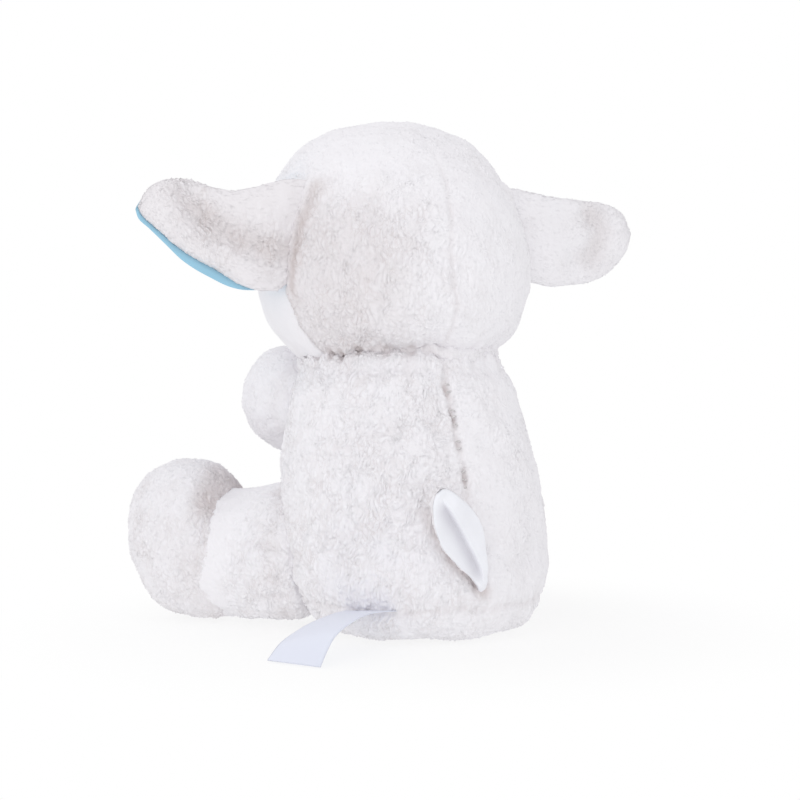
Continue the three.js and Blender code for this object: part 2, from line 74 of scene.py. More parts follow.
# Places of seams and joints in millimetres, and angles in degrees.
TORSO_BASE_Y, TORSO_HEIGHT, BASE_SEAM_Z = 9, 134, 17
NECK_Y, NECK_SEAM_Z, NECK_RADIUS = -18, 134.6, 42.2
HEAD_X, HEAD_Y = 1.0, -20
FACE_SEAM_Y, BROW_Z, BROW_RISE = -5, 196, 12
MUZZLE_Z, NOSE_Z, EYE_X, EYE_Z = 168, 175, 25, 189
LEG_JOINT, LEG_SPLAY = (48.5, -35.0, 33.0), 38
ARM_JOINT, ARM_RUN = (33.0, -56.0, 108.0), (-2.0, -24.0, 3.0)
EAR_ROOT, EAR_LEAN, EAR_SWEEP = (60.6, -2.0, 190.5), 13, 13
TAIL_ROOT, TAIL_LEAN, TAIL_OFF = (-6.0, 63.891, 24.0), 35, 20
LIMB_SEAM_RADIUS = {"leg": 29, "arm": 21}

# The hand-sewn closing of the back: heights of its stitches, and of its gaps with their reach and the
# strength of their dent and painted shade.
STITCH_HEIGHTS = (121.5, 118.0, 109.5, 106.0, 102.5, 94.5, 91.5, 80.5, 77.0, 73.5)
CLOSING_GAPS = ((119, 3.5, 1), (106, 4.5, 1), (93.5, 3, 0.6), (77.5, 5, 0.8))

# The studio: camera angles in degrees, places and sizes in metres, powers in watts.
CAMERA_TURN, CAMERA_PITCH, CAMERA_HEIGHT = 153, 2.75, 0.160
CAMERA_LENS, CAMERA_SENSOR, CAMERA_SHIFT, CAMERA_NEAR = 92, 36, -15 / 800, 0.01
FLOOR_HALF_SIZE = 4000.0
WORLD_STRENGTH, WORLD_TINT, WHITE = 0.74, (0.99, 0.985, 0.998, 1), (1, 1, 1, 1)
LIGHT_AIM = (0, 0, 0.1)
LIGHTS = (("light_above", (0.15, 0.35, 1.3), 1.1, 1.2), ("light_side", (-0.75, 0.85, 0.75), 0.8, 0.8),
          ("light_back", (1.1, 0.65, 0.6), 1.2, 2.4), ("light_low", (0.6, 1.1, 0.1), 0.8, 1.7),
          ("light_front", (0.5, -1.0, 0.9), 1.2, 2.2))

# The cloth simulation: its frames, and the pressure that fills a form.
CLOTH_FRAMES, CLOTH_PRESSURE = 20, 4

# Profiles of the closed forms: share of the half width, height in millimetres.
TORSO_PROFILE = [(0, 1.2), (0.4, 1.2), (0.7, 1.6), (0.84, 8), (0.948, 16), (0.985, 25), (1, 35),
                 (0.995, 56), (0.97, 82), (0.895, 108.5), (0.83, 126), (0.81, 131.8), (0.79, 135.2),
                 (0.7, 136.4), (0.4, 136.6), (0, 136.6)]
HEAD_PROFILE = [(0, 132.6), (0.4, 132.6), (0.66, 132.8), (0.74, 133.4), (0.775, 135), (0.825, 139.8),
                (0.93, 150), (1, 167.2), (0.99, 184), (0.95, 200.6), (0.84, 218.8), (0.645, 234.8),
                (0.36, 244.8), (0, 248.2)]
# Stops of the limbs: place along the axis, half width, half height, rise of the centre, in millimetres.
LEG_STOPS = [(-13, 1, 1, 2), (-13, 17, 20, 2), (-10, 25, 30, 2.6), (0, 27, 34, 3), (14, 27.5, 33.2, 2.4),
             (30, 27.2, 31.5, 1), (43, 26.8, 30.8, 1), (49, 24, 26.6, 0.8), (51.2, 1, 1, 0.6)]
FOOT_STOPS = [(26.5, 1, 1, 7), (27.5, 13, 17, 7), (31, 23.6, 30, 7), (39, 29.2, 37.6, 6.8),
              (51, 31, 40.6, 6.6), (61, 30.8, 40, 6.4), (72, 28.4, 36.4, 6), (81.6, 22.6, 29, 6),
              (89, 11.5, 14, 7), (91, 1, 1, 7)]
ARM_STOPS = [(-9, 1, 1, 0.4), (-9, 9, 10, 0.4), (-5, 15, 16, 0.4), (3, 18.5, 20.3, 0),
             (12, 22.3, 24.2, -0.4), (24, 25, 27.2, -1), (35, 22.6, 24.8, -1.2), (44, 14, 15, -0.8),
             (48.4, 4.5, 5, -0.8), (48.8, 1, 1, -0.8)]
# Turned profile of an eye, from the end of its stem out: radius and height over the face.
EYE_STOPS = [(0, -8), (1.7, -8), (1.7, -3), (1.9, -0.9), (5.9, -0.6), (6.6, 0.1), (6.5, 0.9), (5.9, 2.4),
             (4.4, 3.7), (2.2, 4.5), (0, 4.7)]
# One half of the mouth: distance from the middle and height over the nose's centre.
MOUTH_STOPS = [(0, -5), (0, -9.5), (1.6, -12.2), (5.2, -13.6), (9.2, -12.4), (11.6, -9.6)]
# Outlines of the leaves from root to tip: distance along from the root line and distance up it.
EAR_EDGES = {
    LEFT: {
        "upper": [(-8, 27), (4, 27.5), (12, 25.6), (18, 22.6), (26, 18.6), (33, 15), (39, 13.7),
                  (48, 13.9), (58, 14.4), (66, 12.8), (72.5, 9.2), (76, 3.6), (77.4, -4)],
        "lower": [(-8, -21), (0, -22.5), (7, -27.4), (16, -29.3), (24, -28.4), (31.5, -26.2), (38, -24),
                  (47, -21.4), (56, -18), (64, -13.4), (71, -9.6), (75.4, -6.8), (77.4, -4)],
        "lining": [(-8, -20), (0, -22.5), (7, -26.8), (16, -29.4), (23, -30.7), (30, -30.4), (38, -28.5),
                   (46, -26.2), (53.5, -23), (61.5, -17.9), (70.2, -12.4), (76, -9), (78.6, -4.6)]},
    RIGHT: {
        "upper": [(-8, 27), (2, 26.5), (10, 23.6), (20, 19.4), (32, 15.6), (44, 12.4), (56, 8.6), (65, 5.2),
                  (71, 0.8), (74.5, -5), (76, -12.6)],
        "lower": [(-8, -18), (0, -21), (12, -26), (24, -28.2), (36, -29.4), (47, -29.2), (58, -26.8),
                  (67, -22.6), (73, -18), (76, -12.6)],
        "lining": [(-8, -17.5), (0, -20.6), (12, -25.6), (24, -27.8), (36, -29), (47, -29), (58, -27),
                   (67.4, -23.1), (73.5, -18.4), (76.4, -12.8)]},
}
EAR_VALLEY = {
    LEFT: [(-9, -8), (7.4, -10.2), (15.8, -11.5), (27, -9.6), (39.6, -7), (48, -2.2), (54, 2), (57.5, 8),
           (59, 22)],
    RIGHT: [(30, -19), (38, -18.5), (45, -16.5), (51, -12), (54.5, -6), (52.5, 0), (49, 4)],
}
EAR_DROOP = {LEFT: -2, RIGHT: -16}
TAIL_EDGES = {
    "left": [(-3, -2.5), (6, -3.2), (14, -4.4), (22.5, -7), (32, -10), (43, -12.4), (53, -11.4), (60, -9),
             (64, -6.6), (66.8, -3), (67.6, 0.4)],
    "right": [(-3, 1.5), (6, 2.6), (14, 4.6), (24, 7.6), (32, 9.8), (39.5, 10.6), (48.5, 9.6), (56, 7.4),
              (61.5, 5.4), (65.5, 3), (67.6, 0.4)],
    "fold": [(-3, -1), (16, -0.4), (21, 0), (32, -0.4), (44, -1), (57, -2), (61.5, -2.4), (67.6, -2)],
}
# Line on the torso where the tail's left edge rests, as X and height: a dent and the tail's painted shadow
# lie along it.
TAIL_SHADE = [(21.5, 68), (18.5, 56), (11, 41), (-4, 25)]
# Both long edges of the label, from its seam to its free end.
LABEL_LEFT = [(50.5, 30.8, 16), (61, 36.5, 15.8), (76, 44, 13.6), (86, 49, 10.8), (95.3, 53.9, 7.2),
              (103.2, 58, 0.9)]
LABEL_RIGHT = [(32.5, 49.6, 17), (45, 57.6, 18.6), (57, 65, 19.2), (69, 72.6, 17.2), (80.4, 79, 12),
               (89.2, 84.2, 0.9)]


# Sizes and colours

def length_of(name, description, millimetres):
    """A size property, given in millimetres and kept in metres."""
    return FloatProperty(name=name, description=description, default=millimetres * MM, min=0, unit="LENGTH",
                         subtype="DISTANCE", precision=4)


def colour_of(name, description, *rgb):
    """A colour property, written as the colour looks."""
    return FloatVectorProperty(name=name, description=description, default=rgb, min=0, max=1, size=3,
                               subtype="COLOR_GAMMA")


class PlushSizes(PropertyGroup):
    """Sizes of the sheep that a user would change"""
    torso_half_width: length_of("Torso half width", "From the middle to the side of the torso", 63)
    torso_half_depth: length_of("Torso half depth", "From the middle to the back of the torso", 60)
    torso_lean: length_of("Torso lean", "How far the neck stands in front of the hips", 27)
    head_half_width: length_of("Head half width", "From the middle to the side of the head", 66)
    head_half_depth: length_of("Head half depth", "From the middle to the back of the head", 62)
    muzzle_depth: length_of("Muzzle depth", "How far the muzzle swells out of the face", 13)
    ear_length: length_of("Ear length", "From the root line to the tip of an ear", EAR_LENGTH)
    ear_half_height: length_of("Ear half height", "Half the height of an ear at its root", EAR_HALF_HEIGHT)
    tail_length: length_of("Tail length", "From the root to the tip of the tail", TAIL_LENGTH)
    tail_half_width: length_of("Tail half width", "Half the width of the tail leaf", TAIL_HALF_WIDTH)
    leg_half_width: length_of("Leg half width", "From the middle to the side of a leg", LEG_HALF_WIDTH)
    foot_height: length_of("Foot height", "Height of an upright foot before it is stuffed", FOOT_HEIGHT)
    paw_half_width: length_of("Paw half width", "From the middle to the side of a paw", PAW_HALF_WIDTH)
    curl_width: length_of("Curl width", "Width of one curl of the fleece", 2.6)
    curl_length: length_of("Curl length", "Length of one curl of the fleece, downwards", 7.6)
    curl_depth: length_of("Curl depth", "How far the curls stand out of their hollows", 0.8)
    label_width: length_of("Label width", "Width of the satin label", LABEL_WIDTH)
    label_length: length_of("Label length", "Length of the satin label from its seam", LABEL_LENGTH)


class PlushColours(PropertyGroup):
    """Colours of the sheep's fabrics and of its studio"""
    fleece: colour_of("Fleece", "Tips of the curly fleece", 0.96, 0.955, 0.968)
    # Colour of the fleece's painted shade in creases, seam gaps and shadows; the short pile's random tone
    # also darkens towards it.
    painted_shade: colour_of("Fleece hollow", "Between the curls and in the creases", 0.80, 0.76, 0.755)
    pile: colour_of("Short pile", "The face's short pile", 0.95, 0.945, 0.957)
    blue: colour_of("Blue lining", "Inside of the ears", 0.62, 0.80, 0.89)
    white: colour_of("White lining", "Inside of the tail", 0.96, 0.965, 0.985)
    satin: colour_of("Satin", "The label's satin", 0.87, 0.885, 0.935)
    thread: colour_of("Sewing thread", "Thread of the closing seam", 0.95, 0.94, 0.94)
    nose: colour_of("Nose thread", "Embroidery of the nose and mouth", 0.56, 0.42, 0.40)
    eye: colour_of("Eye", "Plastic of the eyes", 0.03, 0.025, 0.025)
    floor: colour_of("Floor", "The studio's floor", 0.985, 0.985, 0.985)


def against(value, drawn):
    """How many times a size of the panel is the size that its form is drawn at, both as lengths."""
    return round(value / MM / drawn, 6)


# Curves, smooth noise and meshes as arrays

def through(stops, share):
    """Smooth curve through the stops at a share of the way from 0 to 1. Between two stops it is a cubic
    whose slope at each stop is half the step between its neighbours."""
    stops = np.asarray(stops, float)
    last = len(stops) - 1
    at = np.clip(np.asarray(share, float), 0, 1) * last
    i = np.minimum(np.floor(at).astype(int), last - 1)
    t = (at - i)[..., None]
    a, b, c, d = (stops[np.clip(i + k, 0, last)] for k in (-1, 0, 1, 2))
    v0, v1 = (c - a) / 2, (d - b) / 2
    return (2 * b - 2 * c + v0 + v1) * t ** 3 + (-3 * b + 3 * c - 2 * v0 - v1) * t ** 2 + v0 * t + b


def outline_at(stops, along):
    """Height of an outline over a share of the leaf's length: the smooth curve is sampled densely and read
    by its first coordinate."""
    curve = through(stops, np.linspace(0, 1, 400))
    order = np.argsort(curve[:, 0])
    return np.interp(along, curve[order, 0], curve[order, 1])


def ease(low, high, value):
    """0 below low, 1 above high, and a smooth step between them."""
    t = np.clip((value - low) / (high - low), 0, 1)
    return t * t * (3 - 2 * t)


def hump(distance, width):
    """Bell curve of a distance: 1 at 0, falling over the width."""
    return np.exp(-(distance / width) ** 2)


def turns(count):
    """Angles of a full turn in equal steps."""
    return np.linspace(0, 2 * math.pi, count, endpoint=False)


def unit(vectors):
    """The vectors, each made 1 long."""
    return vectors / np.maximum(np.linalg.norm(vectors, axis=-1, keepdims=True), 1e-9)


def wander(points, wavelength, seed, waves=6):
    """Smooth random field between about -1 and 1: a sum of sine waves in seeded directions, whose lengths
    spread round the wavelength."""
    rng = np.random.default_rng(seed)
    direction = unit(rng.normal(size=(waves, 3)))
    number = 2 * math.pi / (wavelength * rng.uniform(0.7, 1.5, waves))
    phase = rng.uniform(0, 2 * math.pi, waves)
    return np.sin(points @ (direction * number[:, None]).T + phase).sum(axis=-1) / math.sqrt(waves * 0.9)


def wander3(points, wavelength, seed):
    """Three wandering fields side by side, to push points about."""
    return np.stack([wander(points, wavelength, seed + k) for k in range(3)], axis=-1)


def scattered(cells, seed):
    """A seeded random place in each whole-numbered cell, from mixing the cell's three numbers as bits."""
    x, y, z = (cells[:, k].astype(np.uint32) for k in range(3))
    places = []
    for k in range(3):
        own = np.uint32(seed * 7919 + k * 104729)
        h = x * np.uint32(73856093) ^ y * np.uint32(19349663) ^ z * np.uint32(83492791) ^ own
        h = (h ^ (h >> np.uint32(13))) * np.uint32(1540483477)
        h = (h ^ (h >> np.uint32(15))) * np.uint32(2246822519)
        places.append(((h ^ (h >> np.uint32(16))) & np.uint32(65535)).astype(float) / 65535)
    return 0.1 + 0.8 * np.stack(places, axis=1)


def cell_distances(points, seed):
    """Distances from each point to the nearest and the second nearest of one scattered centre per unit cell,
    looking at the eight cells round the point."""
    base = np.floor(points - 0.5).astype(np.int64)
    nearest = np.full(len(points), 9.0)
    second = nearest.copy()
    for step in np.ndindex(2, 2, 2):
        cell = base + np.array(step)
        distance = np.linalg.norm(points - (cell + scattered(cell, seed)), axis=1)
        second = np.minimum(second, np.maximum(nearest, distance))
        nearest = np.minimum(nearest, distance)
    return nearest, second


def from_line(points, origin, direction):
    """Distance of each point from a straight line, and its place along the line."""
    relative = points - origin
    along = relative @ direction
    return np.linalg.norm(relative - along[:, None] * direction, axis=1), along


def ring_faces(rows, columns):
    """Quads between neighbouring rings of a closed round form, and a fan at each of its two ends. The end
    points come after the rings."""
    i, j = np.meshgrid(np.arange(rows - 1), np.arange(columns), indexing="ij")
    k = (j + 1) % columns
    below = (i + 1) * columns
    quads = np.stack([i * columns + j, i * columns + k, below + k, below + j], axis=-1)
    edge = np.arange(columns)
    start = np.stack([np.full(columns, rows * columns), (edge + 1) % columns, edge], axis=1)
    far = (rows - 1) * columns
    end = np.stack([np.full(columns, rows * columns + 1), far + edge, far + (edge + 1) % columns], axis=1)
    return [tuple(face) for face in quads.reshape(-1, 4).tolist() + start.tolist() + end.tolist()]


def signed_volume(points, faces):
    """Volume inside a closed mesh: the sum of the tetrahedra between the origin and each face's triangles.
    It is negative where the faces point inwards."""
    total = 0.0
    for size in {len(face) for face in faces}:
        corner = points[np.array([face for face in faces if len(face) == size])]
        for k in range(1, size - 1):
            total += np.einsum("ij,ij->", corner[:, 0], np.cross(corner[:, k], corner[:, k + 1])) / 6
    return total


def closed_rings(rings):
    """Points and outward faces of a closed form from its rings, an array of rows, columns and 3."""
    rows, columns = rings.shape[:2]
    points = np.vstack([rings.reshape(-1, 3), rings[0].mean(axis=0), rings[-1].mean(axis=0)])
    faces = ring_faces(rows, columns)
    if signed_volume(points, faces) < 0:
        faces = [face[::-1] for face in faces]
    return points, faces


def make_mesh(name, points, faces):
    """A mesh from points in millimetres and faces, a list of tuples or an array of quads."""
    mesh = bpy.data.meshes.new(name)
    if isinstance(faces, np.ndarray):
        mesh.vertices.add(len(points))
        mesh.loops.add(faces.size)
        mesh.polygons.add(len(faces))
        mesh.vertices.foreach_set("co", (points * MM).astype(np.float32).ravel())
        mesh.loops.foreach_set("vertex_index", faces.astype(np.int32).ravel())
        mesh.polygons.foreach_set("loop_start", np.arange(0, faces.size, faces.shape[1], dtype=np.int32))
        mesh.update(calc_edges=True)
    else:
        mesh.from_pydata((points * MM).tolist(), [], faces)
    mesh.validate()
    mesh.polygons.foreach_set("use_smooth", np.ones(len(mesh.polygons), bool))
    mesh.update()
    return mesh


def put(name, mesh):
    """A new object for the mesh, at the origin and in the scene."""
    obj = bpy.data.objects.new(name, mesh)
    bpy.context.scene.collection.objects.link(obj)
    return obj


def drop(obj):
    """Removes an object and its mesh."""
    mesh = obj.data
    bpy.data.objects.remove(obj)
    bpy.data.meshes.remove(mesh)


def points_of(mesh):
    """Points of a mesh in millimetres, as an array."""
    values = np.zeros(len(mesh.vertices) * 3, np.float32)
    mesh.vertices.foreach_get("co", values)
    return values.reshape(-1, 3).astype(float) / MM


def quads_of(mesh):
    """Faces of a mesh of quads, as an array."""
    values = np.zeros(len(mesh.loops), np.int32)
    mesh.loops.foreach_get("vertex_index", values)
    return values.reshape(-1, 4)


def normals_of(points, quads):
    """Outward direction at each point: the sum of the cross products of its faces' diagonals."""
    a, b, c, d = (points[quads[:, k]] for k in range(4))
    across = np.cross(c - a, d - b)
    sums = [np.bincount(quads.ravel(), np.repeat(across[:, k], 4), len(points)) for k in range(3)]
    return unit(np.stack(sums, axis=1))


def evaluated(obj):
    """Mesh of the object with its modifiers, as a copy of its own."""
    graph = bpy.context.evaluated_depsgraph_get()
    return bpy.data.meshes.new_from_object(obj.evaluated_get(graph), depsgraph=graph)


def stuffed(name, rings, pinned, voxel=4.6, cap=4.0):
    """Points and quads of a stuffed form. The rings are remeshed to even quads, a Cloth modifier with
    pressure and no gravity fills them out between their seams, and no point moves further than the cap.
    Pinned gives for each point how fast the seams hold it, from 0 to 1."""
    obj = put(name + "_form", make_mesh(name + "_form", *closed_rings(rings)))
    remesh = obj.modifiers.new("Remesh", "REMESH")
    remesh.mode = "VOXEL"
    remesh.voxel_size = voxel * MM
    even = evaluated(obj)
    drop(obj)
    start, quads = points_of(even), quads_of(even)
    held = np.clip(pinned(start), 0, 1)
    obj = put(name + "_form", even)
    group = obj.vertex_groups.new(name="seams")
    for level in np.unique(np.round(held, 1)):
        if level > 0:
            group.add(np.nonzero(np.round(held, 1) == level)[0].tolist(), float(level), "REPLACE")
    cloth = obj.modifiers.new("Cloth", "CLOTH")
    cloth.settings.quality = 6
    cloth.settings.mass = 0.25
    cloth.settings.tension_stiffness = 12
    cloth.settings.compression_stiffness = 12
    cloth.settings.shear_stiffness = 4
    cloth.settings.bending_stiffness = 2.0
    cloth.settings.use_pressure = True
    cloth.settings.uniform_pressure_force = CLOTH_PRESSURE
    cloth.settings.shrink_min = -0.02
    cloth.settings.vertex_group_mass = "seams"
    cloth.settings.effector_weights.gravity = 0
    cloth.collision_settings.use_collision = False
    cloth.point_cache.frame_start = 1
    cloth.point_cache.frame_end = CLOTH_FRAMES
    for step in range(1, CLOTH_FRAMES + 1):
        bpy.context.scene.frame_set(step)
    filled = evaluated(obj)
    moved = points_of(filled)
    bpy.data.meshes.remove(filled)
    drop(obj)
    bpy.context.scene.frame_set(1)
    shift = moved - start
    reach = np.linalg.norm(shift, axis=1, keepdims=True)
    if not np.isfinite(shift).all():
        raise RuntimeError(f"the cloth of {name} did not settle")
    return start + shift * np.minimum(1, cap / np.maximum(reach, 1e-6)), quads


def finer(name, points, quads, levels):
    """The form after that many smooth subdivisions."""
    obj = put(name + "_fine", make_mesh(name + "_fine", points, quads))
    modifier = obj.modifiers.new("Subdivision", "SUBSURF")
    modifier.levels = modifier.render_levels = levels
    mesh = evaluated(obj)
    drop(obj)
    result = points_of(mesh), quads_of(mesh)
    bpy.data.meshes.remove(mesh)
    return result


def curled(points, normals, sizes, seed, crisp, painted_shade=0.0, depth=1.0):
    """Points of a fleece surface with its curls, and each point's painted shade: darker in the creases
    between curls, by a random amount, plus the painted shade passed in. The curls are the cells between
    scattered centres, stretched downwards and bent by two wandering fields: plump in the middle and creased
    between neighbours. A finer set of cells breaks them up, clumps of pile lie over them, single wisps stand
    out, and every tip leans down a little. Crisp, from 0 to 1, says how clearly the curls part."""
    width, length = sizes.curl_width / MM, sizes.curl_length / MM
    bent = points + wander3(points, 11, seed) * 1.7 + wander3(points, 4.2, seed + 7) * 0.45
    near, second = cell_distances(bent / (width, width, length), seed)
    curl = ease(0.0, 0.45, second - near) * (1.12 - 0.5 * near)
    bent = bent + wander3(points, 2.6, seed + 3) * 0.3
    near, second = cell_distances(bent / (1.4, 1.4, 4.0), seed + 11)
    fine = ease(0.0, 0.5, second - near) * (1.1 - near)
    clump = wander(points, 12, seed + 21)
    strength = 0.16 + 0.84 * crisp
    wisp = (0.4 + 0.3 * crisp) * depth * np.random.default_rng(seed + 97).random(len(points)) ** 14
    body = 1.15 * (curl - 0.6) + 0.35 * (fine - 0.5)
    lift = sizes.curl_depth / MM * depth * strength * body + 0.22 * clump + wisp
    lean = np.array([0.0, 0.0, -1.0]) + normals * normals[:, 2:3]
    moved = points + normals * lift[:, None] + lean * (0.5 * np.maximum(lift, 0))[:, None]
    # Painted shade: darker in the creases between curls, by a random amount, plus the painted shade passed
    # in.
    shade = (1 - curl) * strength * 0.15 * np.clip(0.7 + 0.5 * wander(points, 18, seed + 31), 0, 2) + painted_shade
    return moved, np.clip(shade, 0, 1)


def finish_piece(name, points, faces, material, slot, shade=None, crisp=None):
    """The finished object of a piece, with its attributes of shade and crispness and its material. The slot
    is not used.
    """
    mesh = make_mesh(name, points, faces)
    for key, values in (("painted_shade", shade), ("crisp", crisp)):
        if values is not None:
            attribute = mesh.attributes.new(key, "FLOAT", "POINT")
            attribute.data.foreach_set("value", (np.zeros(len(points)) + values).astype(np.float32))
    mesh.materials.append(material)
    obj = put(name, mesh)
    return obj


# Materials

class Wire:
    """A socket that takes part in sums: every operator adds its Math node."""

    def __init__(self, finish, socket):
        self.finish, self.socket = finish, socket

    def _with(self, operation, first, second):
        """The Math node of this operation on two values or wires."""
        return self.finish.node("ShaderNodeMath", {"operation": operation}, {0: first, 1: second})

    def __add__(self, other):
        return self._with("ADD", self, other)

    def __radd__(self, other):
        return self._with("ADD", other, self)

    def __sub__(self, other):
        return self._with("SUBTRACT", self, other)

    def __rsub__(self, other):
        return self._with("SUBTRACT", other, self)

    def __mul__(self, other):
        return self._with("MULTIPLY", self, other)

    def __rmul__(self, other):
        return self._with("MULTIPLY", other, self)


class Finish:
    """A material or a world being made. Every node comes from its one method node()."""

    def __init__(self, name, kind=None):
        self.material = (bpy.data.materials if kind is None else kind).new(name)
        self.material.use_nodes = True
        self.tree = self.material.node_tree
        self.tree.nodes.clear()

    def node(self, kind, settings=None, inputs=None, output=0):
        """A node of this type: its settings first, then its sockets' values or links. Gives its output."""
        made = self.tree.nodes.new(kind)
        for name, value in (settings or {}).items():
            setattr(made, name, value)
        for name, value in (inputs or {}).items():
            if isinstance(value, Wire):
                self.tree.links.new(value.socket, made.inputs[name])
            else:
                made.inputs[name].default_value = value
        return Wire(self, made.outputs[output]) if len(made.outputs) else None

    def mixed(self, factor, first, second):
        """Colour between the first and the second."""
        return self.node("ShaderNodeMix", {"data_type": "RGBA"}, {0: factor, 6: first, 7: second}, output=2)

    def place(self, scale=(1, 1, 1), turn=(0, 0, 0)):
        """Object coordinates in metres, stretched and turned."""
        at = self.node("ShaderNodeTexCoord", output="Object")
        return self.node("ShaderNodeMapping", {}, {"Vector": at, "Scale": scale, "Rotation": turn})

    def noise(self, at, scale, detail=2.0, rough=0.5):
        """Cloudy noise between 0 and 1 at the coordinates."""
        return self.node("ShaderNodeTexNoise", {},
                         {"Vector": at, "Scale": scale, "Detail": detail, "Roughness": rough})

    def bump(self, height, distance, strength=1.0):
        """Normal of a surface raised by the height over a distance in millimetres."""
        return self.node("ShaderNodeBump", {},
                         {"Height": height, "Distance": distance * MM, "Strength": strength})

    def surface(self, **sockets):
        """The surface shader with these sockets, its result connected. Gives the material."""
        names = {name.replace("_", " "): value for name, value in sockets.items()}
        shader = self.node("ShaderNodeBsdfPrincipled", {}, names)
        self.node("ShaderNodeOutputMaterial", {}, {"Surface": shader})
        return self.material


def linear(colour):
    """A colour of the panel, written as it looks, as the light values that shaders use."""
    values = [c / 12.92 if c <= 0.04045 else ((c + 0.055) / 1.055) ** 2.4 for c in colour]
    return (*values, 1.0)


def fleece_material(colours):
    """Curly fleece: pale tips, fine fibres over the modelled curls, and painted shade in a warmer colour
    where the points' shade attribute says and in thin creases between the shader's finer curls.
    """
    f = Finish("curly_fleece_white")
    painted_shade = f.node("ShaderNodeAttribute", {"attribute_name": "painted_shade"}, output="Fac")
    crisp = f.node("ShaderNodeAttribute", {"attribute_name": "crisp"}, output="Fac")
    at = f.place((1, 1, 0.4))
    drift = f.node("ShaderNodeTexNoise", {}, {"Vector": at, "Scale": 230, "Detail": 2.0}, output="Color")
    centred = f.node("ShaderNodeVectorMath", {"operation": "SUBTRACT"}, {0: drift, 1: (0.5, 0.5, 0.5)})
    small = f.node("ShaderNodeVectorMath", {"operation": "SCALE"}, {0: centred, "Scale": 0.0045})
    bent = f.node("ShaderNodeVectorMath", {"operation": "ADD"}, {0: at, 1: small})
    apart = f.node("ShaderNodeTexVoronoi", {"feature": "DISTANCE_TO_EDGE"}, {"Vector": bent, "Scale": 430},
                   output="Distance")
    crease = f.node("ShaderNodeMapRange", {"interpolation_type": "SMOOTHSTEP"},
                    {"Value": apart, "From Min": 0.0, "From Max": 0.10, "To Min": 1.0, "To Max": 0.0})
    patch = f.node("ShaderNodeMapRange", {"interpolation_type": "SMOOTHSTEP"},
                   {"Value": f.noise(f.place((1, 1, 0.6)), 110, 2), "From Min": 0.42, "From Max": 0.62})
    fibre = f.noise(f.place((1, 1, 0.5)), 1500, 3, 0.6)
    # Painted shade: the tone rises with the shade attribute and in the creases, where random patches and the
    # crispness allow, plus a little random fibre tone.
    tone = painted_shade + crease * patch * crisp * 0.28 + (fibre - 0.5) * 0.06
    tone = f.node("ShaderNodeClamp", {}, {"Value": tone})
    height = fibre * 0.35 - crease * crisp * 0.65
    return f.surface(Base_Color=f.mixed(tone, linear(colours.fleece), linear(colours.painted_shade)),
                     Roughness=0.95, Specular_IOR_Level=0.12, Sheen_Weight=0.15, Sheen_Roughness=0.5,
                     Normal=f.bump(height, 0.4, 0.35))


def short_pile_material(colours):
    """Short brushed pile: soft, with a slight nap that runs down the face."""
    f = Finish("short_pile_white")
    fibre = f.noise(f.place((1, 1, 0.4)), 1900, 3, 0.65)
    nap = f.noise(f.place((1, 1, 0.5)), 130, 2)
    # The random fibre and nap tone darkens towards the colour that the fleece uses for its painted shade; no
    # shade is painted on the pile.
    tone = f.node("ShaderNodeClamp", {}, {"Value": (fibre - 0.35) * 0.2 + (nap - 0.5) * 0.14})
    return f.surface(Base_Color=f.mixed(tone, linear(colours.pile), linear(colours.painted_shade)),
                     Roughness=0.9, Specular_IOR_Level=0.15, Sheen_Weight=0.25, Sheen_Roughness=0.45,
                     Normal=f.bump(fibre, 0.25, 0.5))


def velour_material(name, colour, deep):
    """Knitted velour: short dense nap, darker in random patches, with painted shade where its shade
    attribute says, as in folds and under the fleece's edge.
    """
    f = Finish(name)
    painted_shade = f.node("ShaderNodeAttribute", {"attribute_name": "painted_shade"}, output="Fac")
    fibre = f.noise(f.place(), 2200, 3, 0.6)
    nap = f.noise(f.place(), 75, 3)
    tone = f.node("ShaderNodeClamp", {}, {"Value": (fibre - 0.4) * 0.2 + (nap - 0.4) * 0.3 + painted_shade})
    return f.surface(Base_Color=f.mixed(tone, linear(colour), linear(deep)),
                     Roughness=0.8, Specular_IOR_Level=0.2, Sheen_Weight=0.15, Sheen_Roughness=0.4,
                     Normal=f.bump(fibre + nap * 0.4, 0.15, 0.4))


def satin_material(colours):
    """Woven satin: long smooth floats along the label, a fine cross weave and a soft gloss."""
    f = Finish("satin_white")
    weave = f.node("ShaderNodeTexWave", {"wave_type": "BANDS", "bands_direction": "X"},
                   {"Vector": f.place(turn=(0, 0, math.radians(31))), "Scale": 260, "Distortion": 0.6,
                    "Detail": 1.0})
    cloud = f.noise(f.place(), 45, 2)
    pale = tuple(min(1.0, c * 1.03) for c in colours.satin)
    return f.surface(Base_Color=f.mixed(cloud, linear(colours.satin), linear(pale)),
                     Roughness=0.34 + cloud * 0.16, Specular_IOR_Level=0.5, Sheen_Weight=0.1,
                     Normal=f.bump(weave, 0.05, 0.35))


def thread_material(name, colour):
    """Twisted thread: a fine slanting twist and a low sheen."""
    f = Finish(name)
    twist = f.node("ShaderNodeTexWave", {"wave_type": "BANDS", "bands_direction": "DIAGONAL"},
                   {"Vector": f.place(), "Scale": 420, "Distortion": 1.5, "Detail": 1.0})
    fibre = f.noise(f.place(), 1800, 2)
    dark = tuple(c * 0.72 for c in colour)
    tone = f.node("ShaderNodeClamp", {}, {"Value": twist * 0.5 + fibre * 0.4})
    return f.surface(Base_Color=f.mixed(tone, linear(dark), linear(colour)), Roughness=0.55,
                     Specular_IOR_Level=0.4, Sheen_Weight=0.15,
                     Normal=f.bump(twist + fibre * 0.5, 0.12, 0.6))


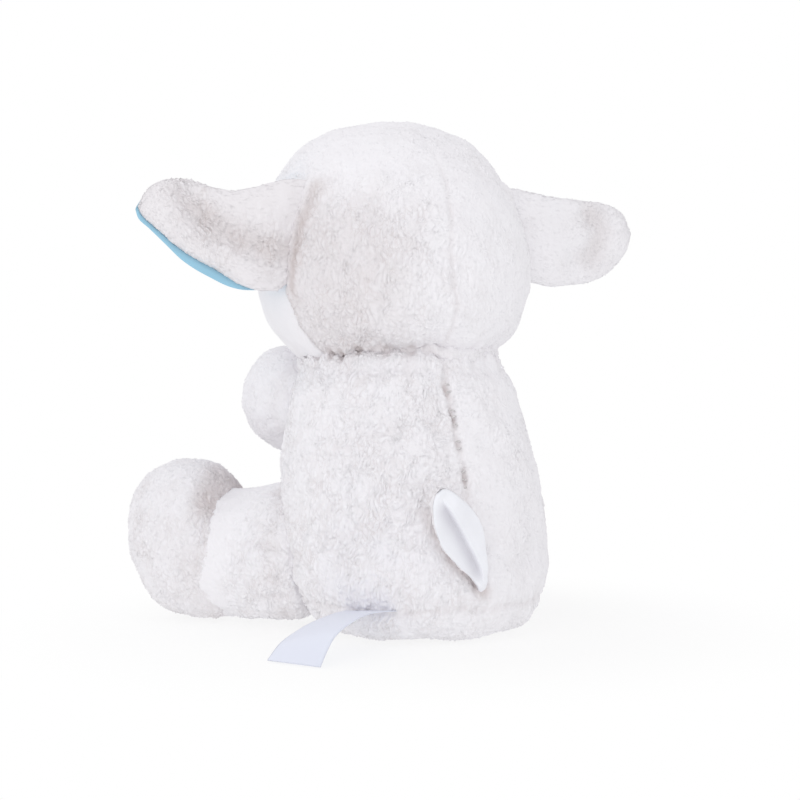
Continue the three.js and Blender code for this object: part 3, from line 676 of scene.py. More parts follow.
def eye_material(colours):
    """Polished dark plastic under a clear coat, with the faintest marks of handling."""
    f = Finish("eye_plastic_dark")
    mark = f.noise(f.place((1, 1, 3)), 240, 3)
    deep = tuple(c * 0.5 for c in colours.eye)
    return f.surface(Base_Color=f.mixed(mark, linear(colours.eye), linear(deep)),
                     Roughness=0.07 + mark * 0.07,
                     Specular_IOR_Level=0.6, Coat_Weight=0.6, Coat_Roughness=0.03,
                     Normal=f.bump(mark, 0.02, 0.15))


def washer_material():
    """Milky moulded plastic with a faint flow pattern."""
    f = Finish("washer_plastic_milky")
    flow = f.noise(f.place((1, 1, 2)), 160, 3)
    return f.surface(Base_Color=f.mixed(flow, (0.62, 0.64, 0.66, 1), (0.74, 0.75, 0.76, 1)),
                     Roughness=0.3 + flow * 0.2, Normal=f.bump(flow, 0.05, 0.3))


# Forms of the body

def oval_rings(profile, half_width, half_depth, centre, inset, steps=48, columns=72):
    """Rings of an upright form: each height of the profile carries an oval. Its half sizes are the
    profile's share of the half width and depth less inset(height), and its centre lies at centre(height)
    along Y."""
    curve = through(profile, np.linspace(0.012, 0.988, steps))
    share, height = curve[:, :1], curve[:, 1:]
    turn = turns(columns)
    less = inset(height)
    x = np.cos(turn) * np.maximum(share * half_width - less, 1)
    y = np.sin(turn) * np.maximum(share * half_depth - less, 1) + centre(height)
    return np.stack([x, y, np.broadcast_to(height, x.shape)], axis=-1)


def torso_middle(sizes):
    """The torso's middle along Y over its height: a straight line that leans forwards."""
    return lambda height: TORSO_BASE_Y - sizes.torso_lean / MM * np.asarray(height) / TORSO_HEIGHT


def muzzle(x, z, sizes):
    """How far the muzzle stands out of the face: a bell round its middle, wider than it is tall."""
    return sizes.muzzle_depth / MM * np.exp(-(x / 27) ** 2 - ((z - MUZZLE_Z) / 21) ** 2)


def limb_frame(kind, side):
    """Joint, direction outwards, sideways direction and upward direction of a leg or an arm."""
    mirror = (side, 1, 1)
    if kind == "leg":
        splay = math.radians(LEG_SPLAY)
        joint = np.array(LEG_JOINT) * mirror
        along = np.array([side * math.sin(splay), -math.cos(splay), 0.0])
    else:
        joint = np.array(ARM_JOINT) * mirror
        along = unit(np.array(ARM_RUN) * mirror)
    sideways = unit(np.cross(along, [0.0, 0.0, 1.0]))
    return joint, along, sideways, np.cross(sideways, along)


def along_rings(kind, side, stops, wide=1.0, tall=1.0, flat=0.0, tilt=0.0, columns=56, steps=30):
    """Rings of a limb. The stops give the place along its axis, the half width, the half height and the
    rise of the centre, and each ring is an oval across the axis, cut off below the flat height. Wide and
    tall widen and heighten it, and the tilt leans the whole form outwards."""
    joint, along, sideways, upward = limb_frame(kind, side)
    curve = through(stops, np.linspace(0.01, 0.99, steps))[:, None, :]
    turn = turns(columns)[None, :, None]
    rings = (joint + along * curve[..., :1] + sideways * (np.cos(turn) * curve[..., 1:2] * wide)
             + upward * (np.sin(turn) * curve[..., 2:3] * tall + curve[..., 3:4]))
    rings = rings + along * tilt * (rings[..., 2:] - 40)
    rings[..., 2] = np.maximum(rings[..., 2], flat)
    return rings


def around_limb(points, kind, side):
    """Distance of each point from a limb's axis, its place along it and its angle round it."""
    joint, along, sideways, upward = limb_frame(kind, side)
    distance, place = from_line(points, joint, along)
    relative = points - joint
    return distance, place, np.arctan2(relative @ upward, relative @ sideways)


def puckers(angle, seed, count=15):
    """Uneven gathers round a seam, from 0 to 1: the sum of a few waves of the angle, raised to a power."""
    rng = np.random.default_rng(seed)
    total = sum(np.sin(angle * n + rng.uniform(0, 6)) for n in (count, count * 2 // 3, count + 6))
    return np.clip(0.5 + total / 4, 0, 1) ** 2


def mirrored(points, quads):
    """The same form on the other side: X turned round, and the faces with it."""
    return points * (-1, 1, 1), quads[:, ::-1].copy()


def dressed(name, points, quads, sizes, material, seed, crisp, dents=0.0, shade=0.0, depth=1.0):
    """A piece of curly fleece: the form is dented along its seams, lumped softly, then curled."""
    normals = normals_of(points, quads)
    lumps = 0.5 * wander(points, 34, seed + 41) + 0.22 * wander(points, 17, seed + 43)
    points = points + normals * (lumps - dents)[:, None]
    normals = normals_of(points, quads)
    points, painted_shade = curled(points, normals, sizes, seed, crisp, shade, depth)
    points[:, 2] = np.maximum(points[:, 2], 0.15)
    return finish_piece(name, points, quads, material, "curly_fleece", painted_shade, crisp)


# Finishes that several pieces share, and the stage

def shared(context):
    """The sizes and the colours of the panel."""
    return context.scene.plush_sizes, context.scene.plush_colours


FINISHES = {}


def finish_of(name, make):
    """The material of that name, made once."""
    if name not in FINISHES:
        FINISHES[name] = make()
    return FINISHES[name]


def fleece(colours):
    """The curly fleece."""
    return finish_of("fleece", lambda: fleece_material(colours))


def set_camera(scene):
    """The camera, one metre from the sheep's axis, turned round it and tilted down to it."""
    turn, pitch = math.radians(CAMERA_TURN), math.radians(CAMERA_PITCH)
    back = Vector((math.sin(turn) * math.cos(pitch), -math.cos(turn) * math.cos(pitch), math.sin(pitch)))
    right = Vector((math.cos(turn), math.sin(turn), 0))
    camera = bpy.data.objects.new("camera", bpy.data.cameras.new("camera"))
    scene.collection.objects.link(camera)
    camera.data.lens = CAMERA_LENS
    camera.data.sensor_width = CAMERA_SENSOR
    camera.data.shift_x = CAMERA_SHIFT
    camera.data.clip_start = CAMERA_NEAR
    placed = Matrix((right, back.cross(right), back)).transposed().to_4x4()
    placed.translation = (math.sin(turn), -math.cos(turn), CAMERA_HEIGHT)
    camera.matrix_world = placed
    scene.camera = camera


def floor_material(colours):
    """Matt white floor that keeps a faint shadow of the sheep and fades to plain white away from it. For all
    rays but the camera's it glows at just over half strength: painted light that brightens the sheep from
    below.
    """
    f = Finish("floor_white")
    at = f.node("ShaderNodeTexCoord", output="Object")
    far = f.node("ShaderNodeVectorMath", {"operation": "LENGTH"}, {0: at}, output="Value")
    grain = f.noise(f.place(), 30, 2)
    tone = f.mixed(grain * 0.15, linear(colours.floor), linear([c * 0.985 for c in colours.floor]))
    matt = f.node("ShaderNodeBsdfPrincipled", {},
                  {"Base Color": tone, "Roughness": 0.9, "Specular IOR Level": 0.1})
    glow = f.node("ShaderNodeEmission", {}, {"Color": WHITE, "Strength": 1.0})
    seen = f.node("ShaderNodeLightPath", output="Is Camera Ray")
    fade = f.node("ShaderNodeMapRange", {"interpolation_type": "SMOOTHSTEP"},
                  {"Value": far, "From Min": 0.08, "From Max": 0.22, "To Min": 0.76, "To Max": 1.0})
    # Painted light: seen from the sheep, the floor glows at 0.55 strength and so lights it from below.
    mix = f.node("ShaderNodeMixShader", {}, {0: fade * seen + (1 - seen) * 0.55, 1: matt, 2: glow})
    f.node("ShaderNodeOutputMaterial", {}, {"Surface": mix})
    return f.material


def studio_world():
    """Soft even light from all sides, and plain white where it is seen directly or in a reflection."""
    world = Finish("studio", bpy.data.worlds)
    soft = world.node("ShaderNodeBackground", {}, {"Strength": WORLD_STRENGTH, "Color": WORLD_TINT})
    white = world.node("ShaderNodeBackground", {}, {"Strength": 1.0, "Color": WHITE})
    camera, glossy, through_glass = (world.node("ShaderNodeLightPath", output=ray) for ray in
                                     ("Is Camera Ray", "Is Glossy Ray", "Is Transmission Ray"))
    direct = world.node("ShaderNodeClamp", {}, {"Value": camera + glossy + through_glass})
    seen = world.node("ShaderNodeMixShader", {}, {0: direct, 1: soft, 2: white})
    world.node("ShaderNodeOutputWorld", {}, {"Surface": seen})
    return world.material


class PLUSH_OT_stage(Operator):
    """Sets the camera, the pale floor and the soft studio light"""
    bl_idname = "plush.stage"
    bl_label = "Stage"

    def execute(self, context):
        scene = context.scene
        set_camera(scene)
        scene.view_settings.view_transform = "Standard"
        size = FLOOR_HALF_SIZE
        corners = np.array([[-size, -size, 0], [size, -size, 0], [size, size, 0], [-size, size, 0]])
        mesh = make_mesh("floor", corners, [(0, 1, 2, 3)])
        mesh.materials.append(floor_material(shared(context)[1]))
        put("floor", mesh)
        scene.world = studio_world()
        for name, place, extent, power in LIGHTS:
            lamp = bpy.data.lights.new(name, "AREA")
            lamp.shape = "SQUARE"
            lamp.size = extent
            lamp.energy = power
            obj = bpy.data.objects.new(name, lamp)
            scene.collection.objects.link(obj)
            aim = Vector(LIGHT_AIM) - Vector(place)
            obj.matrix_world = Matrix.Translation(place) @ aim.to_track_quat("-Z", "Y").to_matrix().to_4x4()
        return {"FINISHED"}


# Torso and neck

def torso_pins(points):
    """Held fast at the neck, along the base seam and along the upper part of the centre-back seam."""
    x, y, z = points.T
    neck = ease(129, 134, z)
    base = hump(z - BASE_SEAM_Z, 4.5) * 0.8
    closing = hump(x, 4) * ease(-5, 10, y) * ease(40, 60, z) * 0.9
    floor = ease(5, 1, z)
    return np.maximum.reduce([neck, base, closing, floor])


def torso_relief(points):
    """Depth and shade of the torso's seams, closing gaps, folds and gathers."""
    x, y, z = points.T
    bend = 0.7 * wander(points, 26, 5) + 0.35 * wander(points, 9, 6)
    behind = ease(5, 20, y)
    seam = hump(x - bend, 1.9) * behind * ease(19, 26, z) * ease(134, 128, z)
    gaps = sum(strength * hump(z - height, reach) for height, reach, strength in CLOSING_GAPS)
    slit = hump(x - bend, 1.2) * behind * gaps
    fold = hump(x - bend - 3, 6.5) * behind * ease(60, 85, z)
    belly = hump(np.abs(x) - 30, 1.4) * ease(-10, -25, y) * ease(17, 25, z)
    base = hump(z - BASE_SEAM_Z - 0.6 * bend, 1.7)
    gathers = puckers(np.arctan2(y, x) * 3, 9) * hump(z - 19, 5)
    dents = 0.9 * seam + 1.2 * slit + 1.5 * fold + 0.8 * belly + 0.8 * base + 0.7 * gathers
    shade = 0.14 * seam + 0.6 * slit + 0.12 * belly + 0.12 * base + 0.1 * gathers
    deep, dark = neck_folds(points)
    dents, shade = dents + deep, shade + dark
    # Painted shadow of the tail on the torso beside its left edge, fading out upwards, with a dent where the
    # tail rests.
    beside = hump(valley_distance(x, z, TAIL_SHADE), 3.4) * behind
    dents, shade = dents + 1.6 * beside, shade + 0.66 * beside * ease(72, 50, z)
    for kind, radius in LIMB_SEAM_RADIUS.items():
        for side in (LEFT, RIGHT):
            distance, place, angle = around_limb(points, kind, side)
            ahead = place > -30
            near = hump(distance - radius, 3.2) * ahead
            inside = ease(radius, radius - 5, distance) * ahead
            round_seam = puckers(angle, 31 + side) * hump(distance - radius - 4, 5) * ahead
            dents = dents + 0.5 * near + 3.0 * inside + 1.3 * round_seam
            shade = shade + 0.08 * near + 0.12 * round_seam
    return dents, shade


class PLUSH_OT_torso(Operator):
    """Makes the stuffed torso of curly fleece with its closing, side, base and limb seams"""
    bl_idname = "plush.torso"
    bl_label = "Torso"

    def execute(self, context):
        sizes, colours = shared(context)
        rings = oval_rings(TORSO_PROFILE, sizes.torso_half_width / MM, sizes.torso_half_depth / MM,
                           torso_middle(sizes), lambda height: -0.5 * ease(131, 112, height))
        points, quads = stuffed("torso", rings, torso_pins)
        points, quads = finer("torso", points, quads, 3)
        dents, shade = torso_relief(points)
        crisp = np.clip(0.22 + 0.6 * ease(-12, 14, points[:, 0]) + 0.16 * wander(points, 40, 8), 0.1, 1)
        lifted = points + np.outer(neck_wave(points), (0, 0, 1))
        obj = dressed("torso_fleece", lifted, quads, sizes, fleece(colours), 3, crisp, dents, shade)
        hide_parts("torso_base_panel", "torso_belly_panel", "torso_left_panel", "torso_right_panel",
                    "torso_stuffing", "pellet_pouch")
        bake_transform(obj)

        # Closing stitches: short bars of thread across the gaps of the centre-back seam.
        stitches = [thread_bar(surface_near(points, quads, 0, height, 1), 3.2, 0.42, height)
                    for height in STITCH_HEIGHTS]
        thread = finish_of("thread", lambda: thread_material("sewing_thread_white", colours.thread))
        bars = finish_many("back_closing_stitches", stitches, thread, "nose_thread")
        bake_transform(bars)
        return {"FINISHED"}


def surface_near(points, quads, x, z, towards):
    """Place and outward direction of a form near a point given by X and Z, on the side where Y has the sign
    of towards: the mean of the points within 3 mm that face that way."""
    normals = normals_of(points, quads)
    close = (np.abs(points[:, 0] - x) < 3) & (np.abs(points[:, 2] - z) < 3) & (points[:, 1] * towards > -5)
    close &= normals[:, 1] * towards > 0.2
    outward = normals[close].mean(axis=0)
    return points[close].mean(axis=0), unit(outward)


def thread_bar(seat, length, radius, seed):
    """A short stitch that arches over a seam: a tube along X with pointed ends, its middle raised."""
    centre, outward = seat
    place = np.linspace(-1, 1, 9)[:, None, None]
    turn = turns(8)[None, :, None]
    across = np.array([1.0, 0.0, 0.35 * math.sin(seed)])
    upward = unit(np.cross(outward, across))
    thick = radius * np.sqrt(np.clip(1.02 - place ** 2, 0, 1))
    middle = centre + across * place * length / 2 + outward * (-1.3 - 0.9 * place ** 2)
    return closed_rings(middle + thick * (outward * np.cos(turn) + upward * np.sin(turn)))


def finish_many(name, parts, material, slot):
    """One piece from several closed forms."""
    points, faces, start = [], [], 0
    for part_points, part_faces in parts:
        points.append(part_points)
        faces += [tuple(corner + start for corner in face) for face in part_faces]
        start += len(part_points)
    return finish_piece(name, np.vstack(points), faces, material, slot)


def neck_wave(points):
    """How far the neck seam and the fleece beside it stand above a level line: a rise at the back, and
    small waves."""
    turn = np.arctan2(points[..., 1] - NECK_Y, points[..., 0])
    ripple = 0.5 * np.sin(turn * 9 + 1) + 0.45 * np.sin(turn * 17 + 2.3) + 0.3 * np.sin(turn * 31)
    return (2.6 * hump(turn - 1.15, 0.62) + ripple) * hump(points[..., 2] - 135, 8)


def neck_folds(points):
    """Depth and shade of the gathers at the neck seam: uneven folds round the neck, and small gaps on its
    left side."""
    turn = np.arctan2(points[:, 1] - NECK_Y, points[:, 0])
    level = points[:, 2] - NECK_SEAM_Z
    folds = puckers(turn, 19, 26) * hump(level, 9) + 0.7 * puckers(turn, 27, 44) * hump(level, 4.5)
    gaps = puckers(turn, 71, 36) * hump(level, 2.4) * (0.3 + 0.7 * ease(4, 22, points[:, 0]))
    return folds + 1.2 * gaps, 0.1 * folds + 0.5 * gaps


class PLUSH_OT_neck(Operator):
    """Makes the gathered seam between the torso and the head"""
    bl_idname = "plush.neck"
    bl_label = "Neck"

    def execute(self, context):
        sizes, colours = shared(context)
        around, across = 900, 56
        turn = turns(around)[:, None]
        section = turns(across)[None, :]
        gather = 1.3 * puckers(turn, 3, 34) + 0.5 * np.sin(turn * 5)
        filled = ease(18, -14, 48 * np.cos(turn))
        radius = NECK_RADIUS + 3.3 * filled + gather + 2.6 * np.cos(section)
        height = 134.7 + (2.7 + 1.2 * filled) * np.sin(section)
        rings = np.stack([radius * np.cos(turn), radius * np.sin(turn) + NECK_Y, height], axis=-1)
        rings[..., 2] += neck_wave(rings)
        points = rings.reshape(-1, 3)
        i, j = np.meshgrid(np.arange(around), np.arange(across), indexing="ij")
        a, b = (i + 1) % around, (j + 1) % across
        corners = [i * across + j, a * across + j, a * across + b, i * across + b]
        quads = np.stack(corners, axis=-1).reshape(-1, 4)
        if signed_volume(points, quads.tolist()) < 0:
            quads = quads[:, ::-1].copy()
        shade = 0.06 + 0.32 * ease(-8, 20, points[:, 0])
        crisp = np.full(len(points), 0.25)
        points, shade = curled(points, normals_of(points, quads), sizes, 17, crisp, shade)
        obj = finish_piece("neck_gathers", points, quads, fleece(colours), "curly_fleece", shade, crisp)
        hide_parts("neck_collar", "neck_stuffing")
        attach(obj, "neck")
        return {"FINISHED"}


# Head and face

def brow_height(y):
    """Height of the brow seam: it rises forwards at its angle from the side seam."""
    return BROW_Z - math.tan(math.radians(BROW_RISE)) * (y - FACE_SEAM_Y)


def on_face(points):
    """How far each point lies inside the face panel's edge, in millimetres: the smaller of its distances in
    front of the side seam and under the brow."""
    under_brow = (brow_height(points[:, 1]) - points[:, 2]) * math.cos(math.radians(BROW_RISE))
    return np.minimum(FACE_SEAM_Y - points[:, 1], under_brow)


def head_pins(points):
    """Held fast at the neck and a little along the face panel's seam and in the ears' slots."""
    neck = ease(140, 136.5, points[:, 2])
    edge = hump(on_face(points), 4) * 0.5
    slot = np.zeros(len(points))
    for side in (LEFT, RIGHT):
        root, _, rise, _ = ear_frame(side)
        distance, place = from_line(points, root, rise)
        slot = np.maximum(slot, hump(distance, 6) * ease(27, 22, np.abs(place)))
    return np.maximum.reduce([neck, edge, slot * 0.7])


def head_relief(points):
    """Depth and painted shade of the head's seams, of the dip under the face panel's edge and of the folds
    that the ears are sewn into, with painted shade in the groove behind each ear and over the head's lower
    left side."""
    x, y, z = points.T
    inside = on_face(points)
    bend = 0.7 * wander(points, 30, 15) + 0.3 * wander(points, 9, 16)
    seam = hump(x - bend, 1.5) * ease(-15, 0, y) * ease(236, 215, z) * ease(136, 142, z)
    crown = hump(x - bend, 1.3) * ease(190, 205, z) * 0.15
    edge = hump(inside, 2.2)
    dents = 0.5 * seam + crown + 0.3 * edge + 2.9 * ease(-0.8, 2.2, inside)
    shade = 0.14 * seam + 0.14 * edge
    for side in (LEFT, RIGHT):
        root, _, rise, back = ear_frame(side)
        distance, place = from_line(points, root, rise)
        behind = (points - root) @ back
        reach = ease(33, 24, np.abs(place))
        dents = dents - 3.4 * hump(distance, 10) * reach * ease(-6, 1, behind)
        middle = np.interp(place, (-20, 12), (2.8, 5.4))
        # Painted shade in the groove on the head just behind each ear's root, stronger beside the left ear.
        groove_shade = 0.5 if side == LEFT else 0.14
        shade = shade + groove_shade * hump((behind - middle) / middle, 0.62) * hump(distance, 13) * reach
    deep, dark = neck_folds(points)
    dents, shade = dents + deep, shade + dark
    # Painted shade that darkens the head's lower left side.
    shade = shade + 0.26 * ease(2, 46, x) * ease(224, 188, z)
    return dents, shade


class PLUSH_OT_head(Operator):
    """Makes the stuffed head of curly fleece and the short-pile face panel"""
    bl_idname = "plush.head"
    bl_label = "Head"

    def execute(self, context):
        sizes, colours = shared(context)
        rings = oval_rings(HEAD_PROFILE, sizes.head_half_width / MM, sizes.head_half_depth / MM,
                           lambda height: 0 * height + HEAD_Y,
                           lambda height: -0.6 * ease(138, 156, height))
        front = np.clip(-np.sin(turns(rings.shape[1])), 0, 1)[None, :]
        rings[..., 1] -= muzzle(rings[..., 0], rings[..., 2], sizes) * np.minimum(1, front * 6)
        # The head leans forwards and stands a little to the left of the torso's middle.
        rings += ((rings[..., 2:] - 150) * (0.012, -0.075, 0)) * ease(140, 175, rings[..., 2:])
        rings[..., 0] += HEAD_X
        coarse, coarse_quads = stuffed("head", rings, head_pins)
        points, quads = finer("head", coarse, coarse_quads, 3)
        dents, shade = head_relief(points)
        x, _, z = points.T
        crisp = 0.1 + 0.72 * ease(-18, 20, x) * ease(232, 192, z) + 0.12 * wander(points, 40, 18)
        crisp = np.clip(crisp, 0.02, 1)
        lifted = points + np.outer(neck_wave(points), (0, 0, 1))
        obj = dressed("head_fleece", lifted, quads, sizes, fleece(colours), 13, crisp, dents, shade)
        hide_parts("head_left_panel", "head_right_panel", "head_stuffing")
        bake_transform(obj)

        face, quads = face_shell(coarse, coarse_quads)
        short_pile = finish_of("pile", lambda: short_pile_material(colours))
        pile = finish_piece("face_pile", face, quads, short_pile, "short_pile")
        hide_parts("face_panel")
        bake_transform(pile)
        add_eyes(face, quads, colours)
        add_nose(face, quads, colours)
        return {"FINISHED"}


def face_shell(coarse, coarse_quads):
    """Closed shell of the face panel: the head's faces inside the panel's edge, their rim drawn onto it, as
    an outer surface with a rounded rim, an inner surface 2.6 mm under it and a band that joins them."""
    points, quads = finer("face", coarse, coarse_quads, 2)
    normals = normals_of(points, quads)
    inside = on_face(points)
    kept = quads[inside[quads].mean(axis=1) > 0]
    edges = np.concatenate([kept[:, [k, (k + 1) % 4]] for k in range(4)])
    key = np.sort(edges, axis=1)
    key = key[:, 0].astype(np.int64) * len(points) + key[:, 1]
    _, first, counts = np.unique(key, return_index=True, return_counts=True)
    rim = edges[first[counts == 1]]
    used, index = np.unique(kept, return_inverse=True)
    index = index.reshape(-1, 4)
    number = np.full(len(points), -1)
    number[used] = np.arange(len(used))
    top, outward, depth = points[used], normals[used], inside[used]
    on_rim = np.isin(used, rim)
    step = 0.02
    slope = np.stack([(on_face(top + np.eye(3)[k] * step) - depth) / step for k in range(3)], axis=1)
    slope -= outward * (slope * outward).sum(axis=1, keepdims=True)
    slope /= np.maximum((slope ** 2).sum(axis=1, keepdims=True), 0.2)
    top = np.where(on_rim[:, None], top - slope * np.clip(depth, -2, 2)[:, None], top)
    depth = np.where(on_rim, 0, depth)
    raised = 1.1 * np.sqrt(np.clip(depth / 3.0, 0, 1)) - 0.7 + 0.15 * wander(top, 12, 61)
    under = top - outward * 2.6
    top = top + outward * raised[:, None]
    count = len(used)
    a, b = number[rim[:, 0]], number[rim[:, 1]]
    band = np.stack([b, a, a + count, b + count], axis=1)
    shell = np.vstack([top, under])
    shell[:, 2] += neck_wave(shell)
    faces = np.vstack([index, index[:, ::-1] + count, band])
    return shell, faces


def dome_rings(seat, stops, columns=48, steps=60):
    """Rings of a turned form on a seat: stops give the radius and the height over the seat."""
    centre, outward = seat
    first = unit(np.cross(outward, [0.0, 0.0, 1.0]))
    second = np.cross(outward, first)
    curve = through(stops, np.linspace(0.005, 0.995, steps))[:, None, :]
    turn = turns(columns)[None, :, None]
    around = first * np.cos(turn) + second * np.sin(turn)
    return centre + outward * curve[..., 1:] + curve[..., :1] * around


def add_eyes(face, quads, colours):
    """Two polished domes with a thin rim, each on its stem through the face, and their washers' finish."""
    polished = finish_of("eye", lambda: eye_material(colours))
    milky = finish_of("washer", washer_material)
    for name, side in SIDES:
        seat = surface_near(face, quads, side * EYE_X, EYE_Z, -1)
        dome = closed_rings(dome_rings(seat, EYE_STOPS))
        obj = finish_piece(name + "_eye_dome", *dome, polished, "eye_plastic")
        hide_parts(name + "_eye")
        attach(obj, "head")
        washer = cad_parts[name + "_eye_washer"]
        washer.data.materials.clear()
        washer.data.materials.append(milky)


def add_nose(face, quads, colours):
    """Embroidered nose: a low rounded triangle of upright satin stitches, and under it the mouth, two curved
    rows of stitches."""
    material = finish_of("nose", lambda: thread_material("nose_thread_brown", colours.nose))
    centre, outward = surface_near(face, quads, 0, NOSE_Z, -1)
    across = np.array([1.0, 0.0, 0.0])
    upward = np.cross(across, outward) * -1
    upward = upward if upward[2] > 0 else -upward
    turn = turns(180)[None, :]
    share = np.linspace(0.02, 1, 22)[:, None]
    width = 8.5 * (1 + 0.16 * np.sin(turn))
    height = 5.4 * (1 - 0.10 * np.cos(2 * turn))
    x, z = share * width * np.cos(turn), share * height * np.sin(turn)
    rows = 0.22 * np.sin(x * 2 * math.pi / 0.85)
    top = 2.3 * np.sqrt(np.clip(1.03 - share ** 2.6, 0, 1)) + rows
    outer = centre + across * x[..., None] + upward * z[..., None] + outward * (top[..., None] - 0.5)
    inner = centre + across * x[..., None] + upward * z[..., None] + outward * (-1.5 + 0 * x[..., None])
    form = closed_rings(np.vstack([outer, inner[::-1]]))
    obj = finish_piece("nose_embroidery", *form, material, "nose_thread")
    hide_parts("nose")
    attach(obj, "head")
    stitches = []
    for side in (LEFT, RIGHT):
        path = through([(side * x, z) for x, z in MOUTH_STOPS], np.linspace(0, 1, 11))
        for start, end in zip(path[:-1], path[1:]):
            seats = [surface_near(face, quads, point[0], NOSE_Z + point[1], -1) for point in (start, end)]
            stitches.append(stitch_between(*seats, 0.62))
    mouth = finish_many("mouth_stitches", stitches, material, "nose_thread")
    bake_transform(mouth)


def stitch_between(first, second, radius):
    """One stitch of a row: a plump tube from one seat to the next, overlapping both ends."""
    (start, out_start), (end, out_end) = first, second
    axis = end - start
    outward = unit(out_start + out_end)
    sideways = unit(np.cross(axis, outward))
    place = np.linspace(-0.15, 1.15, 9)[:, None, None]
    turn = turns(10)[None, :, None]
    fat = radius * np.clip(1.02 - (2 * place - 1) ** 2 / 1.69, 0, 1) ** 0.4
    middle = start + axis * place + outward * (0.25 - 0.5 * (2 * place - 1) ** 2)
    return closed_rings(middle + fat * (outward * np.cos(turn) + sideways * np.sin(turn)))


# Leaves: ears and tail

def ear_frame(side):
    """Root, and the directions along the ear, up its root line and to its back."""
    lean, sweep = math.radians(EAR_LEAN), math.radians(EAR_SWEEP)
    root = np.array(EAR_ROOT) * (side, 1, 1)
    rise = np.array([-side * math.sin(lean), 0.0, math.cos(lean)])
    level = np.array([side * math.cos(sweep), -math.sin(sweep), 0.0])
    along = unit(level - rise * (level @ rise))
    return root, along, rise, np.cross(rise, along) * side


def tail_frame():
    """Root, and the directions along the tail, across its leaf and away from the torso."""
    lean, off = math.radians(TAIL_LEAN), math.radians(TAIL_OFF)
    along = unit(np.array([math.sin(lean), math.sin(off), math.cos(lean)]))
    level = np.array([-math.cos(lean), 0.0, math.sin(lean)])
    level = unit(level - along * (level @ along))
    return np.array(TAIL_ROOT), along, level, np.cross(level, along)


def on_axis(start, along, *places):
    """Points in metres at these places along an axis that starts at a point in millimetres."""
    return [tuple((start + along * place) * MM) for place in places]


def leaf_grid(rows, columns):
    """Shares along and across a leaf for the rings of its shell. Along runs from root to tip, closer near
    the tip. Across follows the cosine of the turn and the side of the shell its sine, so that both faces
    meet at round edges."""
    along = np.sin(np.linspace(0.0, 1, rows) * math.pi / 2)[:, None] * 0.998
    turn = turns(columns)[None, :]
    side = np.sign(np.sin(turn)) * np.abs(np.sin(turn)) ** 0.6
    return np.broadcast_arrays(along, np.cos(turn), side)


def valley_distance(a, c, valley):
    """Distance of each place of a leaf from a line of several straight pieces, negative on its right."""
    best = np.full(a.shape, 1e9)
    sign = np.ones(a.shape)
    for (x0, y0), (x1, y1) in zip(valley[:-1], valley[1:]):
        dx, dy = x1 - x0, y1 - y0
        t = np.clip(((a - x0) * dx + (c - y0) * dy) / (dx * dx + dy * dy), 0, 1)
        px, py = a - x0 - t * dx, c - y0 - t * dy
        distance = np.hypot(px, py)
        nearer = distance < best
        sign = np.where(nearer, np.where(dx * py - dy * px >= 0, 1.0, -1.0), sign)
        best = np.where(nearer, distance, best)
    return best * sign


def leaf_places(upper, lower, rows, columns):
    """Distances along and up a leaf over the rings of its shell, between an upper and a lower outline, with
    the share across and the side of the shell."""
    s, t, face = leaf_grid(rows, columns)
    a = upper[0][0] + (upper[-1][0] - upper[0][0]) * s
    high, low = outline_at(upper, a), outline_at(lower, a)
    return a, (high + low) / 2 + (high - low) / 2 * t, t, face


def ear_point(side, a, up, out, sizes):
    """Place on an ear from its distances along, up and out to the back: both edges curl to the back, more so
    towards the tip, which droops by the square of the share along."""
    root, forward, rise, back = ear_frame(side)
    share = np.clip(a / EAR_LENGTH, 0, 1)
    curl = 5.5 * ((up - EAR_DROOP[side] * share ** 2) / EAR_HALF_HEIGHT) ** 2 * share
    return (root + forward * (a * sizes.ear_length / MM / EAR_LENGTH)[..., None]
            + rise * (up * sizes.ear_half_height / MM / EAR_HALF_HEIGHT)[..., None]
            + back * (out + curl)[..., None])


def ear_cover_shell(side, sizes):
    """Fleece leaf of an ear: flat towards the lining and full towards the back, where a valley parts a broad
    pillow from a rolled rim. Gives the rings, each point's distance from the valley and its side of the
    shell."""
    edges = EAR_EDGES[side]
    a, up, t, face = leaf_places(edges["upper"], edges["lower"], 150, 300)
    d = valley_distance(a, up, EAR_VALLEY[side])
    if side == LEFT:
        rise = (4.2 * ease(-0.5, -9, d) + 2.6 * ease(0, 17, d)) * ease(15, 8, up) + 2.4 * ease(8, 15, up)
    else:
        rise = 3.2 * ease(0, 13, np.abs(d))
    full = np.clip(1 - np.abs(t) ** 2.4, 0, 1) ** 0.5 * ease(79, 66, a) * ease(-2, 20, a)
    swollen = 0.1 + (0.9 + ease(0, 12, a)) * face + rise * full * np.clip(face * 1.4, 0, 1)
    out = np.where(face > 0, swollen, 0.1 + 0.7 * face)
    return ear_point(side, a, up, out, sizes), d, face


